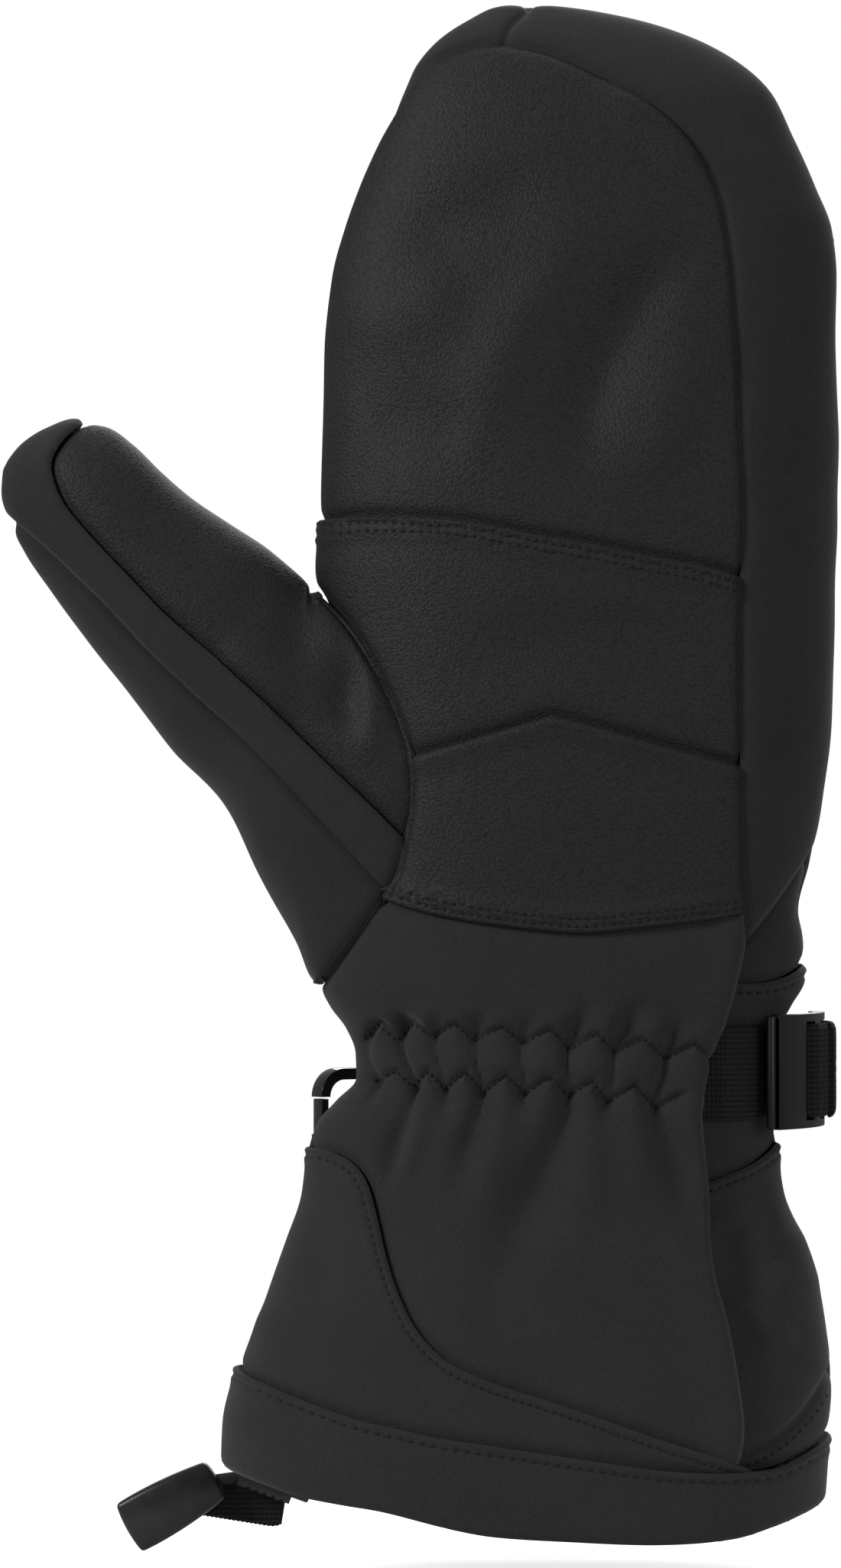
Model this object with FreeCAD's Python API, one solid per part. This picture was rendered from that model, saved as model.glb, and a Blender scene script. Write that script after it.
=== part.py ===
import FreeCAD, Part
import math
import os
from FreeCAD import Vector

# Left-hand gauntlet ski mitten. Millimetres. +Z runs from the hand opening to the finger tips,
# the palm faces -Y and the thumb points to -X. The origin is the centre of the hand opening.

# ---- overall sizes -------------------------------------------------------------------------
MITTEN_LENGTH = 317.4       # hand opening to the tip of the fingers
TIP_ROUND_START = 264.0     # height where the finger end begins to round off
WIDTH_FACTOR = 1.0          # stretches every cross-section of the hand across its width
DEPTH_FACTOR = 1.0          # stretches every cross-section of the hand through its thickness
HEM_DEPTH = 12.0            # how far the loft is carried below the opening before it is trimmed

# ---- layers of the hand --------------------------------------------------------------------
SHELL = 1.2                 # leather or softshell
PALM_FILL = 3.2             # insulation on the palm
BACK_FILL = 6.0             # insulation on the back of the hand
SIDE_FILL = 4.0             # insulation along the two edges
MEMBRANE = 0.5              # waterproof insert
LINING = 1.6                # fleece lining
ELASTIC = 1.0               # wrist elastic, let into the palm insulation
ELASTIC_LOW, ELASTIC_HIGH = 88.0, 101.0

# ---- thumb ---------------------------------------------------------------------------------
THUMB_FILL = 4.0
THUMB_AXIS_X, THUMB_AXIS_Y = -40.0, 0.0     # the thumb swings about a line along Z
THUMB_ROOT_RADIUS = 30.0                    # round joint between the root and the thumb
THUMB_RUNNING_GAP = 0.4

# ---- wrist strap and ladder lock buckle ------------------------------------------------------
STRAP_WIDTH = 20.0
STRAP_THICK = 1.4
STRAP_MID_Z = 92.5
BUCKLE_RIM = 2.0            # side rail beside the strap
BUCKLE_THICK = 2.6
BUCKLE_BAR = 3.2            # width of each cross bar
BUCKLE_PIN = 1.3            # radius of the round rear bar
RUN_GAP = 0.35              # clearance between pieces that move past each other
BUCKLE_FRONT = Vector(51.5, -16.4, 0)
BUCKLE_REAR = Vector(62.0, 13.0, 0)
BUCKLE_CROWN = 3.0          # how far the plate bows outwards
TAIL_LENGTH = 26.0

# ---- glove clip ----------------------------------------------------------------------------
CLIP_WIDTH, CLIP_HEIGHT = 22.0, 20.0
CLIP_WALL, CLIP_DEPTH = 2.4, 3.6
CLIP_CORNER = 6.0
CLIP_MID = Vector(-36.0, 24.5, 82.0)
CLIP_TURN = 38.0            # degrees about Z from facing the palm side
CLIP_TAPE = 10.0            # width of the tape that holds it

# ---- hem drawcord --------------------------------------------------------------------------
CORD_RADIUS = 1.3
LOCK_RADIUS, LOCK_LENGTH = 3.8, 12.0
LOCK_WALL = 1.2
BUTTON_TRAVEL = 2.5
LOCK_MID = Vector(-55.2, 31.6, 3.4)
LOCK_TILT = 20.0            # degrees, right end lower
GRIP_LENGTH, GRIP_WIDTH, GRIP_THICK = 21.0, 12.5, 7.0
GRIP_NECK = Vector(-67.4, 31.6, 2.6)
GRIP_TILT = 30.0            # degrees below the horizontal, pointing to -X
TAB_THICK = 1.2

os.makedirs("parts", exist_ok=True)


def save(node, shape):
    shape.exportStep("parts/" + node + ".step")
    print(node, len(shape.Solids), round(shape.Volume, 1), flush=True)


# ---- cross-sections of the hand: height, edge at the thumb, edge at the little finger,
# ---- depth on the palm side, depth on the back
SECTIONS = [
    (-HEM_DEPTH, -64.6, 63.3, 36, 36), (8, -65, 63.5, 37, 37), (26, -62.3, 64.2, 36, 36),
    (45, -55, 62, 34, 34), (62, -48.8, 56, 31, 32), (76, -45.5, 53, 29, 30),
    (91, -38, 51.8, 27, 27), (101, -38.5, 54, 27, 27), (113, -44.3, 58.3, 28, 28),
    (126, -43.2, 58.6, 29, 29), (146, -41.2, 62, 30, 31), (170, -42, 64.5, 30, 32),
    (197, -44.5, 65, 29, 31), (222, -43.2, 65.3, 27, 29), (245, -42.6, 65, 25, 27),
    (264, -40, 65, 23, 25), (280, -34.8, 60.6, 21.2, 23), (292, -30, 54.6, 19, 20.6),
    (302, -25.4, 46.8, 16, 17.4), (309, -20, 37.5, 12.4, 13.6), (314, -13.8, 24, 8.2, 9),
    (317.4, -7, 4, 3.2, 3.4)]
DRAWN_LENGTH = 317.4
HAND_POWER = 2.4            # superellipse power: 2 is an ellipse, higher is squarer
THUMB_POWER = 2.2

# ---- thumb sections: upper edge x, z, lower edge x, z, half depth
THUMB_SECTIONS = [
    (-26, 190, -26, 118, 17), (-44.5, 196.5, -46, 116, 17.5), (-56, 203, -60, 139, 17),
    (-67, 211, -72.5, 157.5, 16.2), (-78, 220, -86, 175, 15.4), (-88.5, 227.4, -98.5, 191, 14.2),
    (-96, 229.6, -106.5, 202, 12), (-102.5, 227, -109.8, 212, 8), (-106.5, 223, -109.6, 218, 3)]
THUMB_TIP_FROM = 6          # sections from here on belong to the rounded end
THUMB_MID_Y = -3.0


def smooth_ring(points):
    """A closed smooth curve. Even parameters give every ring of a loft the same knots."""
    curve = Part.BSplineCurve()
    even = [float(index) for index in range(len(points) + 1)]
    curve.interpolate(Points=points, PeriodicFlag=True, Parameters=even)
    return Part.Wire([curve.toShape()])


def signed_power(value, power):
    return math.copysign(abs(value) ** (2.0 / power), value)


def hand_ring(section, inset):
    height, left, right, palm, back = section
    side, front, rear, top = inset
    height = height * MITTEN_LENGTH / DRAWN_LENGTH if height > 0 else height
    half = (right - left) / 2 * WIDTH_FACTOR
    middle = (right + left) / 2
    palm = palm * DEPTH_FACTOR
    back = back * DEPTH_FACTOR
    start = TIP_ROUND_START * MITTEN_LENGTH / DRAWN_LENGTH
    if height <= start:
        half, palm, back = half - side, palm - front, back - rear
    else:
        full_half, full_palm, full_back = 52.5 * WIDTH_FACTOR, 23 * DEPTH_FACTOR, 25 * DEPTH_FACTOR
        half *= (full_half - side) / full_half
        palm *= (full_palm - front) / full_palm
        back *= (full_back - rear) / full_back
        height = start + (height - start) * (MITTEN_LENGTH - top - start) / (MITTEN_LENGTH - start)
    count = 20
    points = []
    for step in range(count):
        angle = 2 * math.pi * step / count
        x = middle + half * signed_power(math.cos(angle), HAND_POWER)
        depth = back if math.sin(angle) > 0 else palm
        points.append(Vector(x, depth * signed_power(math.sin(angle), HAND_POWER), height))
    return smooth_ring(points)


def hand(inset):
    return Part.makeLoft([hand_ring(section, inset) for section in SECTIONS], True, False)


def thumb_ring(section, inset, rounded):
    upper_x, upper_z, lower_x, lower_z, depth = section
    stretch = MITTEN_LENGTH / DRAWN_LENGTH
    upper = Vector(upper_x, THUMB_MID_Y, upper_z * stretch)
    lower = Vector(lower_x, THUMB_MID_Y, lower_z * stretch)
    centre = (upper + lower) * 0.5
    across = upper - lower
    half = across.Length / 2
    across.normalize()
    if rounded:
        share = (20 - inset) / 20
        half *= share
        depth *= share
        centre = centre + Vector(0.64, 0, -0.64) * inset
    else:
        half -= inset
        depth -= inset
    count = 16
    points = []
    for step in range(count):
        angle = 2 * math.pi * step / count
        point = centre + across * (half * signed_power(math.cos(angle), THUMB_POWER))
        points.append(point + Vector(0, depth * signed_power(math.sin(angle), THUMB_POWER), 0))
    return smooth_ring(points)


def thumb(inset):
    rings = []
    for index, section in enumerate(THUMB_SECTIONS):
        rings.append(thumb_ring(section, inset, index >= THUMB_TIP_FROM))
    return Part.makeLoft(rings, True, False)


REACH = 90.0                # half depth of every cutting prism


def prism(seam, closing, y_from=-REACH, y_to=REACH):
    """A cutting block along Y: a smooth seam line closed by straight sides."""
    stretch = MITTEN_LENGTH / DRAWN_LENGTH
    curve = Part.BSplineCurve()
    curve.interpolate([Vector(x, y_from, z * stretch) for x, z in seam])
    corners = [Vector(x, y_from, z * stretch) for x, z in [seam[-1]] + closing + [seam[0]]]
    edges = [curve.toShape()]
    for start, end in zip(corners, corners[1:]):
        edges.append(Part.makeLine(start, end))
    return Part.Face(Part.Wire(edges)).extrude(Vector(0, y_to - y_from, 0))


def solids_only(shape, smallest=1.0):
    kept = [solid for solid in shape.Solids if solid.Volume > smallest]
    return kept[0] if len(kept) == 1 else Part.makeCompound(kept)


def split(rest, cutter):
    return solids_only(rest.common(cutter)), solids_only(rest.cut(cutter))


def slab(low, high):
    size = high - low
    return Part.makeBox(size.x, size.y, size.z, low)


# ---- seam lines, x and z ---------------------------------------------------------------------
OPENING_EDGE = [(-90, 14), (-64, 9), (-48.5, 4.8), (-30.4, 2.1), (-7.1, -2.9), (8.4, -3.9),
                (27.4, -4.7), (42.8, -3.9), (55.9, -0.3), (63, 2.6), (90, 12)]
HEM_SEAM = [(-90, 38), (-60.2, 29.6), (-43.3, 23.7), (-26.1, 19.3), (-8.9, 16.3), (8.4, 13.7),
            (25.6, 11.1), (43.8, 10), (57.5, 12.9), (63.1, 15.5), (90, 30)]
CUFF_CURVE = [(-90, 78), (-45.6, 76.5), (-36.1, 73.3), (-31.7, 63.3), (-27, 46.9), (-18.4, 34.5),
              (-4.5, 28), (12.7, 22.4), (29.9, 16.3), (43.8, 12.2), (60, 4)]
FOLD_EDGE = [(60, 150), (45.2, 124.6), (43.5, 110.9), (40.6, 100.8), (36.2, 83.6), (37.7, 69.9),
             (38.6, 52.2), (44.1, 26.2), (44.4, 13.4), (44, -20)]
GUSSET_LOW = [(90, 172), (58.3, 134.8), (48.5, 122.8), (40, 112)]
WRIST_GUSSET_LOW = [(30, 109), (43.5, 110.9), (53.8, 112.1), (59.2, 115.1), (90, 132)]
PINKY_WRIST_LOW = [(30, 69), (38, 69.9), (47.2, 73.4), (52.3, 77), (90, 104)]
HEEL_SEAM = [(-90, 135), (-28.7, 128.2), (-6, 123.5), (10.9, 122), (24.5, 123.2), (45.3, 125.6), (60, 128)]
CHEVRON_LEFT = [(-90, 140), (-24, 158.7), (5.2, 167.1)]
CHEVRON_RIGHT = [(5.2, 167.1), (21.1, 162.8), (43.8, 156.7), (80, 147)]
UPPER_SEAM = [(-90, 209), (-43, 208.3), (-23, 208.3), (0.8, 204.8), (24.5, 200.3), (44.1, 195.9), (80, 190)]
PALM_EDGE = [(-90, 250), (-45, 280), (-29.8, 293.7), (-20.8, 304.9), (-8.9, 308.3), (10.9, 303.3),
             (30.1, 290.9), (39.6, 277.2), (42.7, 259.2), (44.8, 216.4), (44.4, 170), (45.4, 126.9),
             (45.2, 100)]
TIP_SEAM = [(6, 330), (0.2, 317), (-3.9, 312.3), (-6, 303)]
BACK_TIP_EDGE = [(-90, 250), (-40, 262), (-10, 271), (12, 273), (40, 271), (65, 266), (90, 258)]
BACK_WRIST_SEAM = [(-90, 118), (-44, 112), (-10, 108), (20, 108), (59, 115), (90, 122)]
PATCH_EDGE = [(-90, 239), (-30, 239), (-24, 218), (-30, 197), (-90, 197)]
THUMB_STRIP_TOP = [(-85, 246), (-93.9, 228.8), (-99.7, 219), (-91, 204.1), (-75.5, 188), (-53.6, 168.4),
                   (-32.4, 147.8), (0, 115)]
THUMB_STRIP_LOW = [(-120, 217), (-107.9, 206.4), (-96.1, 196.1), (-79.5, 179.4), (-59.4, 161),
                   (-29.8, 129.9), (0, 98)]

# ---- the nested bodies of the hand and the thumb ---------------------------------------------
insets = [(0, 0, 0, 0)]
insets.append((SHELL, SHELL, SHELL, SHELL))
insets.append((SHELL + SIDE_FILL, SHELL + PALM_FILL, SHELL + BACK_FILL, SHELL + SIDE_FILL))
insets.append(tuple(value + MEMBRANE for value in insets[2]))
insets.append(tuple(value + LINING for value in insets[3]))
hand_bodies = [hand(inset) for inset in insets]
thumb_insets = [0, SHELL, SHELL + THUMB_FILL, SHELL + THUMB_FILL + MEMBRANE]
thumb_insets.append(thumb_insets[3] + LINING)
thumb_bodies = [thumb(inset) for inset in thumb_insets]

below_opening = prism(OPENING_EDGE, [(90, -60), (-90, -60)])
layers = []
for index in range(4):
    layer = hand_bodies[index].cut(below_opening)
    layer = layer.cut(hand_bodies[index + 1])
    layers.append(solids_only(layer.cut(thumb_bodies[index + 1])))
shell, insulation, membrane, lining = layers

# ---- outer panels of the hand ----------------------------------------------------------------
hem, shell = split(shell, prism(HEM_SEAM, [(90, -60), (-90, -60)]))
save("hem_band", hem)

FRONT_BACK_Y = 1.0          # the panels of the two faces meet on the silhouette
front_space = slab(Vector(-130, -REACH, -60), Vector(130, FRONT_BACK_Y, 400))
front, back = split(shell, front_space)

piece, front = split(front, prism(CUFF_CURVE, [(60, -60), (-90, -60)]))
save("gauntlet_thumb_side", piece)
palm, front = split(front, prism(PALM_EDGE, [(45.2, 60), (-90, 60)]).common(
    prism(HEEL_SEAM, [(60, 400), (-90, 400)])))
piece, palm = split(palm, prism(UPPER_SEAM, [(80, 400), (-90, 400)]))
save("palm_upper", piece)
chevron = prism(CHEVRON_LEFT, [(5.2, 400), (-90, 400)]).fuse(prism(CHEVRON_RIGHT, [(80, 400), (5.2, 400)]))
piece, palm = split(palm, chevron)
save("palm_middle", piece)
save("palm_heel", palm)
side, front = split(front, prism(FOLD_EDGE, [(120, -20), (120, 150)]).common(
    prism(GUSSET_LOW, [(40, -30), (120, -30), (120, 172)])))
piece, side = split(side, prism(WRIST_GUSSET_LOW, [(90, 300), (30, 300)]))
save("wrist_gusset", piece)
piece, side = split(side, prism(PINKY_WRIST_LOW, [(90, 300), (30, 300)]))
save("little_finger_wrist", piece)
save("little_finger_gauntlet", side)
piece, front = split(front, prism(TIP_SEAM, [(-60, 270), (-60, 340)]))
save("tip_gusset", piece)
piece, front = split(front, prism(HEEL_SEAM, [(120, 128), (120, 400), (-90, 400)]))
save("side_gusset", piece)
save("wrist_front", front)

piece, back = split(back, prism(BACK_TIP_EDGE, [(90, 400), (-90, 400)]))
save("back_tip_leather", piece)
piece, back = split(back, prism(PATCH_EDGE, []))
save("index_edge_patch", piece)
piece, back = split(back, prism(BACK_WRIST_SEAM, [(90, 400), (-90, 400)]))
save("back_shell", piece)
save("gauntlet_back", back)

# ---- insulation, elastic, membrane and lining --------------------------------------------------
elastic_body = hand(tuple(value + ELASTIC for value in insets[1]))
elastic_zone = slab(Vector(-30, -REACH, ELASTIC_LOW), Vector(36, -10, ELASTIC_HIGH))
elastic = solids_only(hand_bodies[1].cut(elastic_body).common(elastic_zone))
fill_front, fill_back = split(insulation, front_space)
save("wrist_elastic", elastic)
save("insulation_palm", solids_only(fill_front.cut(elastic)))
save("insulation_back", fill_back)
save("membrane_insert", membrane)
save("lining_hand", lining)

# ---- thumb: a root that stays with the hand and the part that swings ----------------------------
def thumb_core(radius):
    return Part.makeCylinder(radius, 300, Vector(THUMB_AXIS_X, THUMB_AXIS_Y, 0))


root_core = thumb_core(THUMB_ROOT_RADIUS)
swing_core = thumb_core(THUMB_ROOT_RADIUS + THUMB_RUNNING_GAP)
thumb_layers = [thumb_bodies[index].cut(thumb_bodies[index + 1]) for index in range(4)]
root_names = ["thumb_root_shell", "thumb_root_fill", "thumb_root_membrane", "thumb_root_lining"]
for index, name in enumerate(root_names):
    root = thumb_layers[index].common(root_core).cut(hand_bodies[index])
    save(name, solids_only(root))
moving = [solids_only(layer.cut(swing_core).common(slab(Vector(-200, -90, 0), Vector(-50, 90, 400))))
          for layer in thumb_layers]
leather, rest = split(moving[0], prism(THUMB_STRIP_TOP, [(0, 260), (-85, 260)]))
strip, thumb_rear = split(rest, prism(THUMB_STRIP_LOW, [(0, 260), (-120, 260)]))
save("thumb_leather", leather)
save("thumb_side_strip", strip)
save("thumb_back", thumb_rear)
save("thumb_insulation", moving[1])
save("thumb_membrane", moving[2])
save("thumb_lining", moving[3])


# ---- wrist strap and buckle ----------------------------------------------------------------
def band(points, thickness, low, high):
    """A flat tape that follows plan points (x, y) and stands from low to high."""
    left, right = [], []
    for index, point in enumerate(points):
        before = points[max(index - 1, 0)]
        after = points[min(index + 1, len(points) - 1)]
        along = after - before
        along.normalize()
        normal = Vector(-along.y, along.x, 0) * (thickness / 2)
        left.append(point + normal)
        right.append(point - normal)
    ring = [Vector(p.x, p.y, low) for p in left + right[::-1]]
    face = Part.Face(Part.makePolygon(ring + [ring[0]]))
    return face.extrude(Vector(0, 0, high - low))


strap_low = STRAP_MID_Z - STRAP_WIDTH / 2
strap_high = STRAP_MID_Z + STRAP_WIDTH / 2
strap_over = hand((-STRAP_THICK - 0.1, -STRAP_THICK - 0.1, -STRAP_THICK - 0.1, 0))
strap_under = hand((-0.1, -0.1, -0.1, 0))
strap_zone = slab(Vector(37, -60, strap_low), Vector(BUCKLE_FRONT.x - 3.4, 0, strap_high))
save("wrist_webbing", solids_only(strap_over.cut(strap_under).common(strap_zone)))

chord = BUCKLE_REAR - BUCKLE_FRONT
chord_length = chord.Length
chord.normalize()
outward = Vector(chord.y, -chord.x, 0)
plate_radius = chord_length ** 2 / (8 * BUCKLE_CROWN) + BUCKLE_CROWN / 2
plate_centre = (BUCKLE_FRONT + BUCKLE_REAR) * 0.5 - outward * (plate_radius - BUCKLE_CROWN)
angle_front = math.atan2(BUCKLE_FRONT.y - plate_centre.y, BUCKLE_FRONT.x - plate_centre.x)
angle_rear = math.atan2(BUCKLE_REAR.y - plate_centre.y, BUCKLE_REAR.x - plate_centre.x)


def on_plate(share, radius):
    angle = angle_front + (angle_rear - angle_front) * share
    return plate_centre + Vector(math.cos(angle), math.sin(angle), 0) * radius


def arc_run(share_from, share_to, radius, count=7):
    step = (share_to - share_from) / (count - 1)
    return [on_plate(share_from + step * index, radius) for index in range(count)]


buckle_low = strap_low - BUCKLE_RIM
buckle_high = strap_high + BUCKLE_RIM
bar_share = BUCKLE_BAR / chord_length
slot_share = (STRAP_THICK + 3.4) / chord_length
pin_share = 1 - BUCKLE_PIN / chord_length
plate = band(arc_run(0, pin_share, plate_radius, 13), BUCKLE_THICK, buckle_low, buckle_high)
front_slot_at = 3.2 * bar_share
front_slot = band(arc_run(front_slot_at, front_slot_at + slot_share, plate_radius), BUCKLE_THICK * 3,
                  strap_low - RUN_GAP, strap_high + RUN_GAP)
rear_slot = band(arc_run(pin_share - 2.2 * slot_share, 1.2, plate_radius), BUCKLE_THICK * 3,
                 strap_low - RUN_GAP, strap_high + RUN_GAP)
pin_place = on_plate(pin_share, plate_radius - 0.8)
pin_bar = Part.makeCylinder(BUCKLE_PIN, buckle_high - buckle_low,
                            Vector(pin_place.x, pin_place.y, buckle_low))
save("ladder_lock_buckle", solids_only(plate.cut(front_slot).cut(rear_slot).fuse(pin_bar)))

under = plate_radius - BUCKLE_THICK / 2 - STRAP_THICK / 2 - 0.1
over = plate_radius + BUCKLE_THICK / 2 + STRAP_THICK / 2 + 0.1
slot_mid = front_slot_at + slot_share / 2
thread = arc_run(0.03, slot_mid - 0.03, under, 4) + [on_plate(slot_mid, plate_radius)]
thread += arc_run(slot_mid + 0.03, 0.62, over, 4)
tape_low, tape_high = strap_low + 0.2, strap_high - 0.2
hand_and_gap = hand((-RUN_GAP, -RUN_GAP, -RUN_GAP, 0))
save("strap_threaded", solids_only(band(thread, STRAP_THICK, tape_low, tape_high).cut(hand_and_gap)))

TAIL_FROM = 0.67            # share of the plate's length where the loose tail begins
TAIL_LIFT = 0.75            # it lies this far above the threaded strap
tail = arc_run(TAIL_FROM, TAIL_FROM + TAIL_LENGTH / chord_length, over + TAIL_LIFT, 9)
save("strap_tail", band(tail, STRAP_THICK, tape_low, tape_high))

# the loop of tape around the rear bar, sewn to the back of the wrist
ANCHOR_THICK = 1.1
ANCHOR_RUN = [Vector(54, 19.5, 0), Vector(46, 25.0, 0), Vector(36, 28.6, 0)]
anchor_low, anchor_high = strap_low + 0.6, strap_high - 0.6
loop_inner = BUCKLE_PIN + RUN_GAP
pin_foot = Vector(pin_place.x, pin_place.y, anchor_low)
pin_room = Part.makeCylinder(loop_inner, STRAP_WIDTH * 3, pin_foot - Vector(0, 0, STRAP_WIDTH))
anchor_loop = Part.makeCylinder(loop_inner + ANCHOR_THICK, anchor_high - anchor_low, pin_foot)
anchor_path = [pin_place + Vector(-1.6, 1.4, 0)] + ANCHOR_RUN
anchor = band(anchor_path, ANCHOR_THICK, anchor_low, anchor_high)
save("buckle_anchor_tape", solids_only(anchor_loop.fuse(anchor).cut(pin_room).cut(hand_bodies[0])))


# ---- glove clip ----------------------------------------------------------------------------
def rounded_plate(width, height, corner, depth):
    """A rounded rectangle in the XZ plane, centred, thickened along Y."""
    x, z = width / 2, height / 2
    box = Part.makeBox(width, depth, height, Vector(-x, -depth / 2, -z))
    edges = [edge for edge in box.Edges if edge.BoundBox.YLength > depth / 2]
    return box.makeFillet(corner, edges)


def place_clip(shape):
    moved = shape.copy()
    moved.rotate(Vector(0, 0, 0), Vector(0, 0, 1), CLIP_TURN)
    moved.translate(CLIP_MID)
    return moved


THROUGH = Vector(0, 1, 0)   # through the thickness of the clip, before it is turned
GATE_SLACK = 0.25           # room on each side of the gate
PIVOT_RADIUS, PIVOT_SLACK = 0.8, 0.06
PIVOT_DROP = 1.6            # the pivot sits this far below the gate's opening
LEAF_THICK = 1.2            # the part of the gate that stands in the fork
FORK_GAP = 1.8
gate_x = -CLIP_WIDTH / 2 + CLIP_WALL / 2
gate_top, gate_low = CLIP_HEIGHT / 2 - CLIP_CORNER, -CLIP_HEIGHT / 2 + CLIP_CORNER
clip_frame = rounded_plate(CLIP_WIDTH, CLIP_HEIGHT, CLIP_CORNER, CLIP_DEPTH)
clip_frame = clip_frame.cut(rounded_plate(CLIP_WIDTH - 2 * CLIP_WALL, CLIP_HEIGHT - 2 * CLIP_WALL,
                                          CLIP_CORNER - CLIP_WALL, CLIP_DEPTH * 2))
gate_mouth = Part.makeBox(CLIP_WALL * 2, CLIP_DEPTH * 2, gate_top - gate_low,
                          Vector(gate_x - CLIP_WALL, -CLIP_DEPTH, gate_low))
pivot_x, pivot_z = gate_x + 0.4, gate_low - PIVOT_DROP
pivot_hole = Part.makeCylinder(PIVOT_RADIUS + PIVOT_SLACK, CLIP_DEPTH * 2,
                               Vector(pivot_x, -CLIP_DEPTH, pivot_z), THROUGH)
fork_gap = Part.makeBox(CLIP_WALL * 2.2, FORK_GAP, 4.6,
                        Vector(gate_x - CLIP_WALL * 1.1, -FORK_GAP / 2, pivot_z - 2.4))
save("clip_frame", place_clip(clip_frame.cut(gate_mouth).cut(pivot_hole).cut(fork_gap)))
gate = Part.makeBox(CLIP_WALL - 2 * GATE_SLACK, CLIP_DEPTH - 0.6, gate_top - gate_low - 0.8,
                    Vector(gate_x - CLIP_WALL / 2 + GATE_SLACK, -CLIP_DEPTH / 2 + 0.3, gate_low + 0.4))
leaf = Part.makeBox(2 * PIVOT_RADIUS, LEAF_THICK, gate_low + 1.2 - pivot_z,
                    Vector(gate_x - 0.4, -LEAF_THICK / 2, pivot_z))
eye = Part.makeCylinder(1.2, LEAF_THICK, Vector(pivot_x, -LEAF_THICK / 2, pivot_z), THROUGH)
pivot = Part.makeCylinder(PIVOT_RADIUS, CLIP_DEPTH - 0.2,
                          Vector(pivot_x, -CLIP_DEPTH / 2 + 0.1, pivot_z), THROUGH)
save("clip_gate", place_clip(gate.fuse(leaf).fuse(eye).fuse(pivot)))
CLIP_TAPE_THICK = 1.0
CLIP_TAPE_RUN = 17.0
bar_x = CLIP_WIDTH / 2 - CLIP_WALL / 2
tape_half = CLIP_TAPE / 2
hole_half = math.hypot(CLIP_WALL, CLIP_DEPTH) / 2 + RUN_GAP
clip_loop = Part.makeCylinder(hole_half + CLIP_TAPE_THICK, CLIP_TAPE, Vector(bar_x, 0, -tape_half))
clip_loop = clip_loop.cut(Part.makeCylinder(hole_half, CLIP_TAPE * 2, Vector(bar_x, 0, -CLIP_TAPE)))
clip_run = Part.makeBox(CLIP_TAPE_RUN, 1.2, CLIP_TAPE, Vector(bar_x + hole_half, -1.2, -tape_half))
save("clip_tape", solids_only(place_clip(clip_loop.fuse(clip_run)).cut(hand_bodies[0])))


# ---- hem drawcord: lock, button, spring, cord, grip and tab ----------------------------------
def place_lock(shape):
    moved = shape.copy()
    moved.rotate(Vector(0, 0, 0), Vector(0, 1, 0), LOCK_TILT)
    moved.translate(LOCK_MID)
    return moved


def from_lock(x, z):
    """The place of a point of the lock's own x-z plane once the lock is tilted."""
    tilt = math.radians(LOCK_TILT)
    return LOCK_MID + Vector(x * math.cos(tilt) + z * math.sin(tilt), 0,
                             z * math.cos(tilt) - x * math.sin(tilt))


def tube_along(points, radius):
    shape = Part.makeSphere(radius, points[0])
    for start, end in zip(points, points[1:]):
        way = end - start
        shape = shape.fuse(Part.makeCylinder(radius, way.Length, start, way))
        shape = shape.fuse(Part.makeSphere(radius, end))
    return shape


ALONG = Vector(1, 0, 0)     # along the lock and the grip, before they are tilted
RIBS, RIB_PITCH = 5, 1.9
RIB_GROOVE, RIB_DEPTH = 0.7, 0.35
SPRING_ROOM = 3.6           # at rest; the spring is drawn at its pressed length
SPRING_WIRE = 0.7
half_lock = LOCK_LENGTH / 2
lock_bore = LOCK_RADIUS - LOCK_WALL
button_radius = lock_bore - RUN_GAP
cord_hole_at = -half_lock + LOCK_WALL + CORD_RADIUS + 1.0

EYELET_PLACE = Vector(-58.5, 19.6, 13.5)
EYELET_WAY = Vector(-0.5, 0.86, 0)
EYELET_RADIUS, EYELET_LENGTH = 3.2, 3.0
cord_points = [EYELET_PLACE + Vector(-0.6, 1.4, 0), Vector(-60.4, 28.0, 13.0)]
cord_points.append(from_lock(cord_hole_at, LOCK_RADIUS + 2.0))
cord_points.append(from_lock(cord_hole_at, 0))
cord_points.append(GRIP_NECK + Vector(0.9, 0, 0.4))
save("drawcord", tube_along(cord_points, CORD_RADIUS - 0.1))
eyelet = Part.makeCylinder(EYELET_RADIUS, EYELET_LENGTH, EYELET_PLACE - EYELET_WAY * 2.0, EYELET_WAY)
eyelet_hole = Part.makeCylinder(CORD_RADIUS + 0.2, EYELET_LENGTH * 4, EYELET_PLACE - EYELET_WAY * 6,
                                EYELET_WAY)
save("hem_eyelet", solids_only(eyelet.cut(eyelet_hole).cut(hand_bodies[0])))

barrel = Part.makeCylinder(LOCK_RADIUS, LOCK_LENGTH, Vector(-half_lock, 0, 0), ALONG)
for rib in range(RIBS):
    groove_at = Vector(-half_lock + 2.2 + rib * RIB_PITCH, 0, 0)
    groove = Part.makeCylinder(LOCK_RADIUS + 1, RIB_GROOVE, groove_at, ALONG)
    barrel = barrel.cut(groove.cut(Part.makeCylinder(LOCK_RADIUS - RIB_DEPTH, RIB_GROOVE, groove_at, ALONG)))
barrel = barrel.cut(Part.makeCylinder(lock_bore, LOCK_LENGTH, Vector(-half_lock + LOCK_WALL, 0, 0), ALONG))
cord_room = CORD_RADIUS + RUN_GAP
barrel = barrel.cut(Part.makeCylinder(cord_room, LOCK_RADIUS * 2, Vector(cord_hole_at, 0, 0)))
barrel = place_lock(barrel).cut(tube_along(cord_points[1:], cord_room))
save("cord_lock_barrel", solids_only(barrel))
button_from = -half_lock + LOCK_WALL + 2 * CORD_RADIUS + 2.6 + SPRING_ROOM
button_out = half_lock + BUTTON_TRAVEL + 1.2
button = Part.makeCylinder(button_radius, button_out - button_from, Vector(button_from, 0, 0), ALONG)
save("cord_lock_button", place_lock(button))
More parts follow.
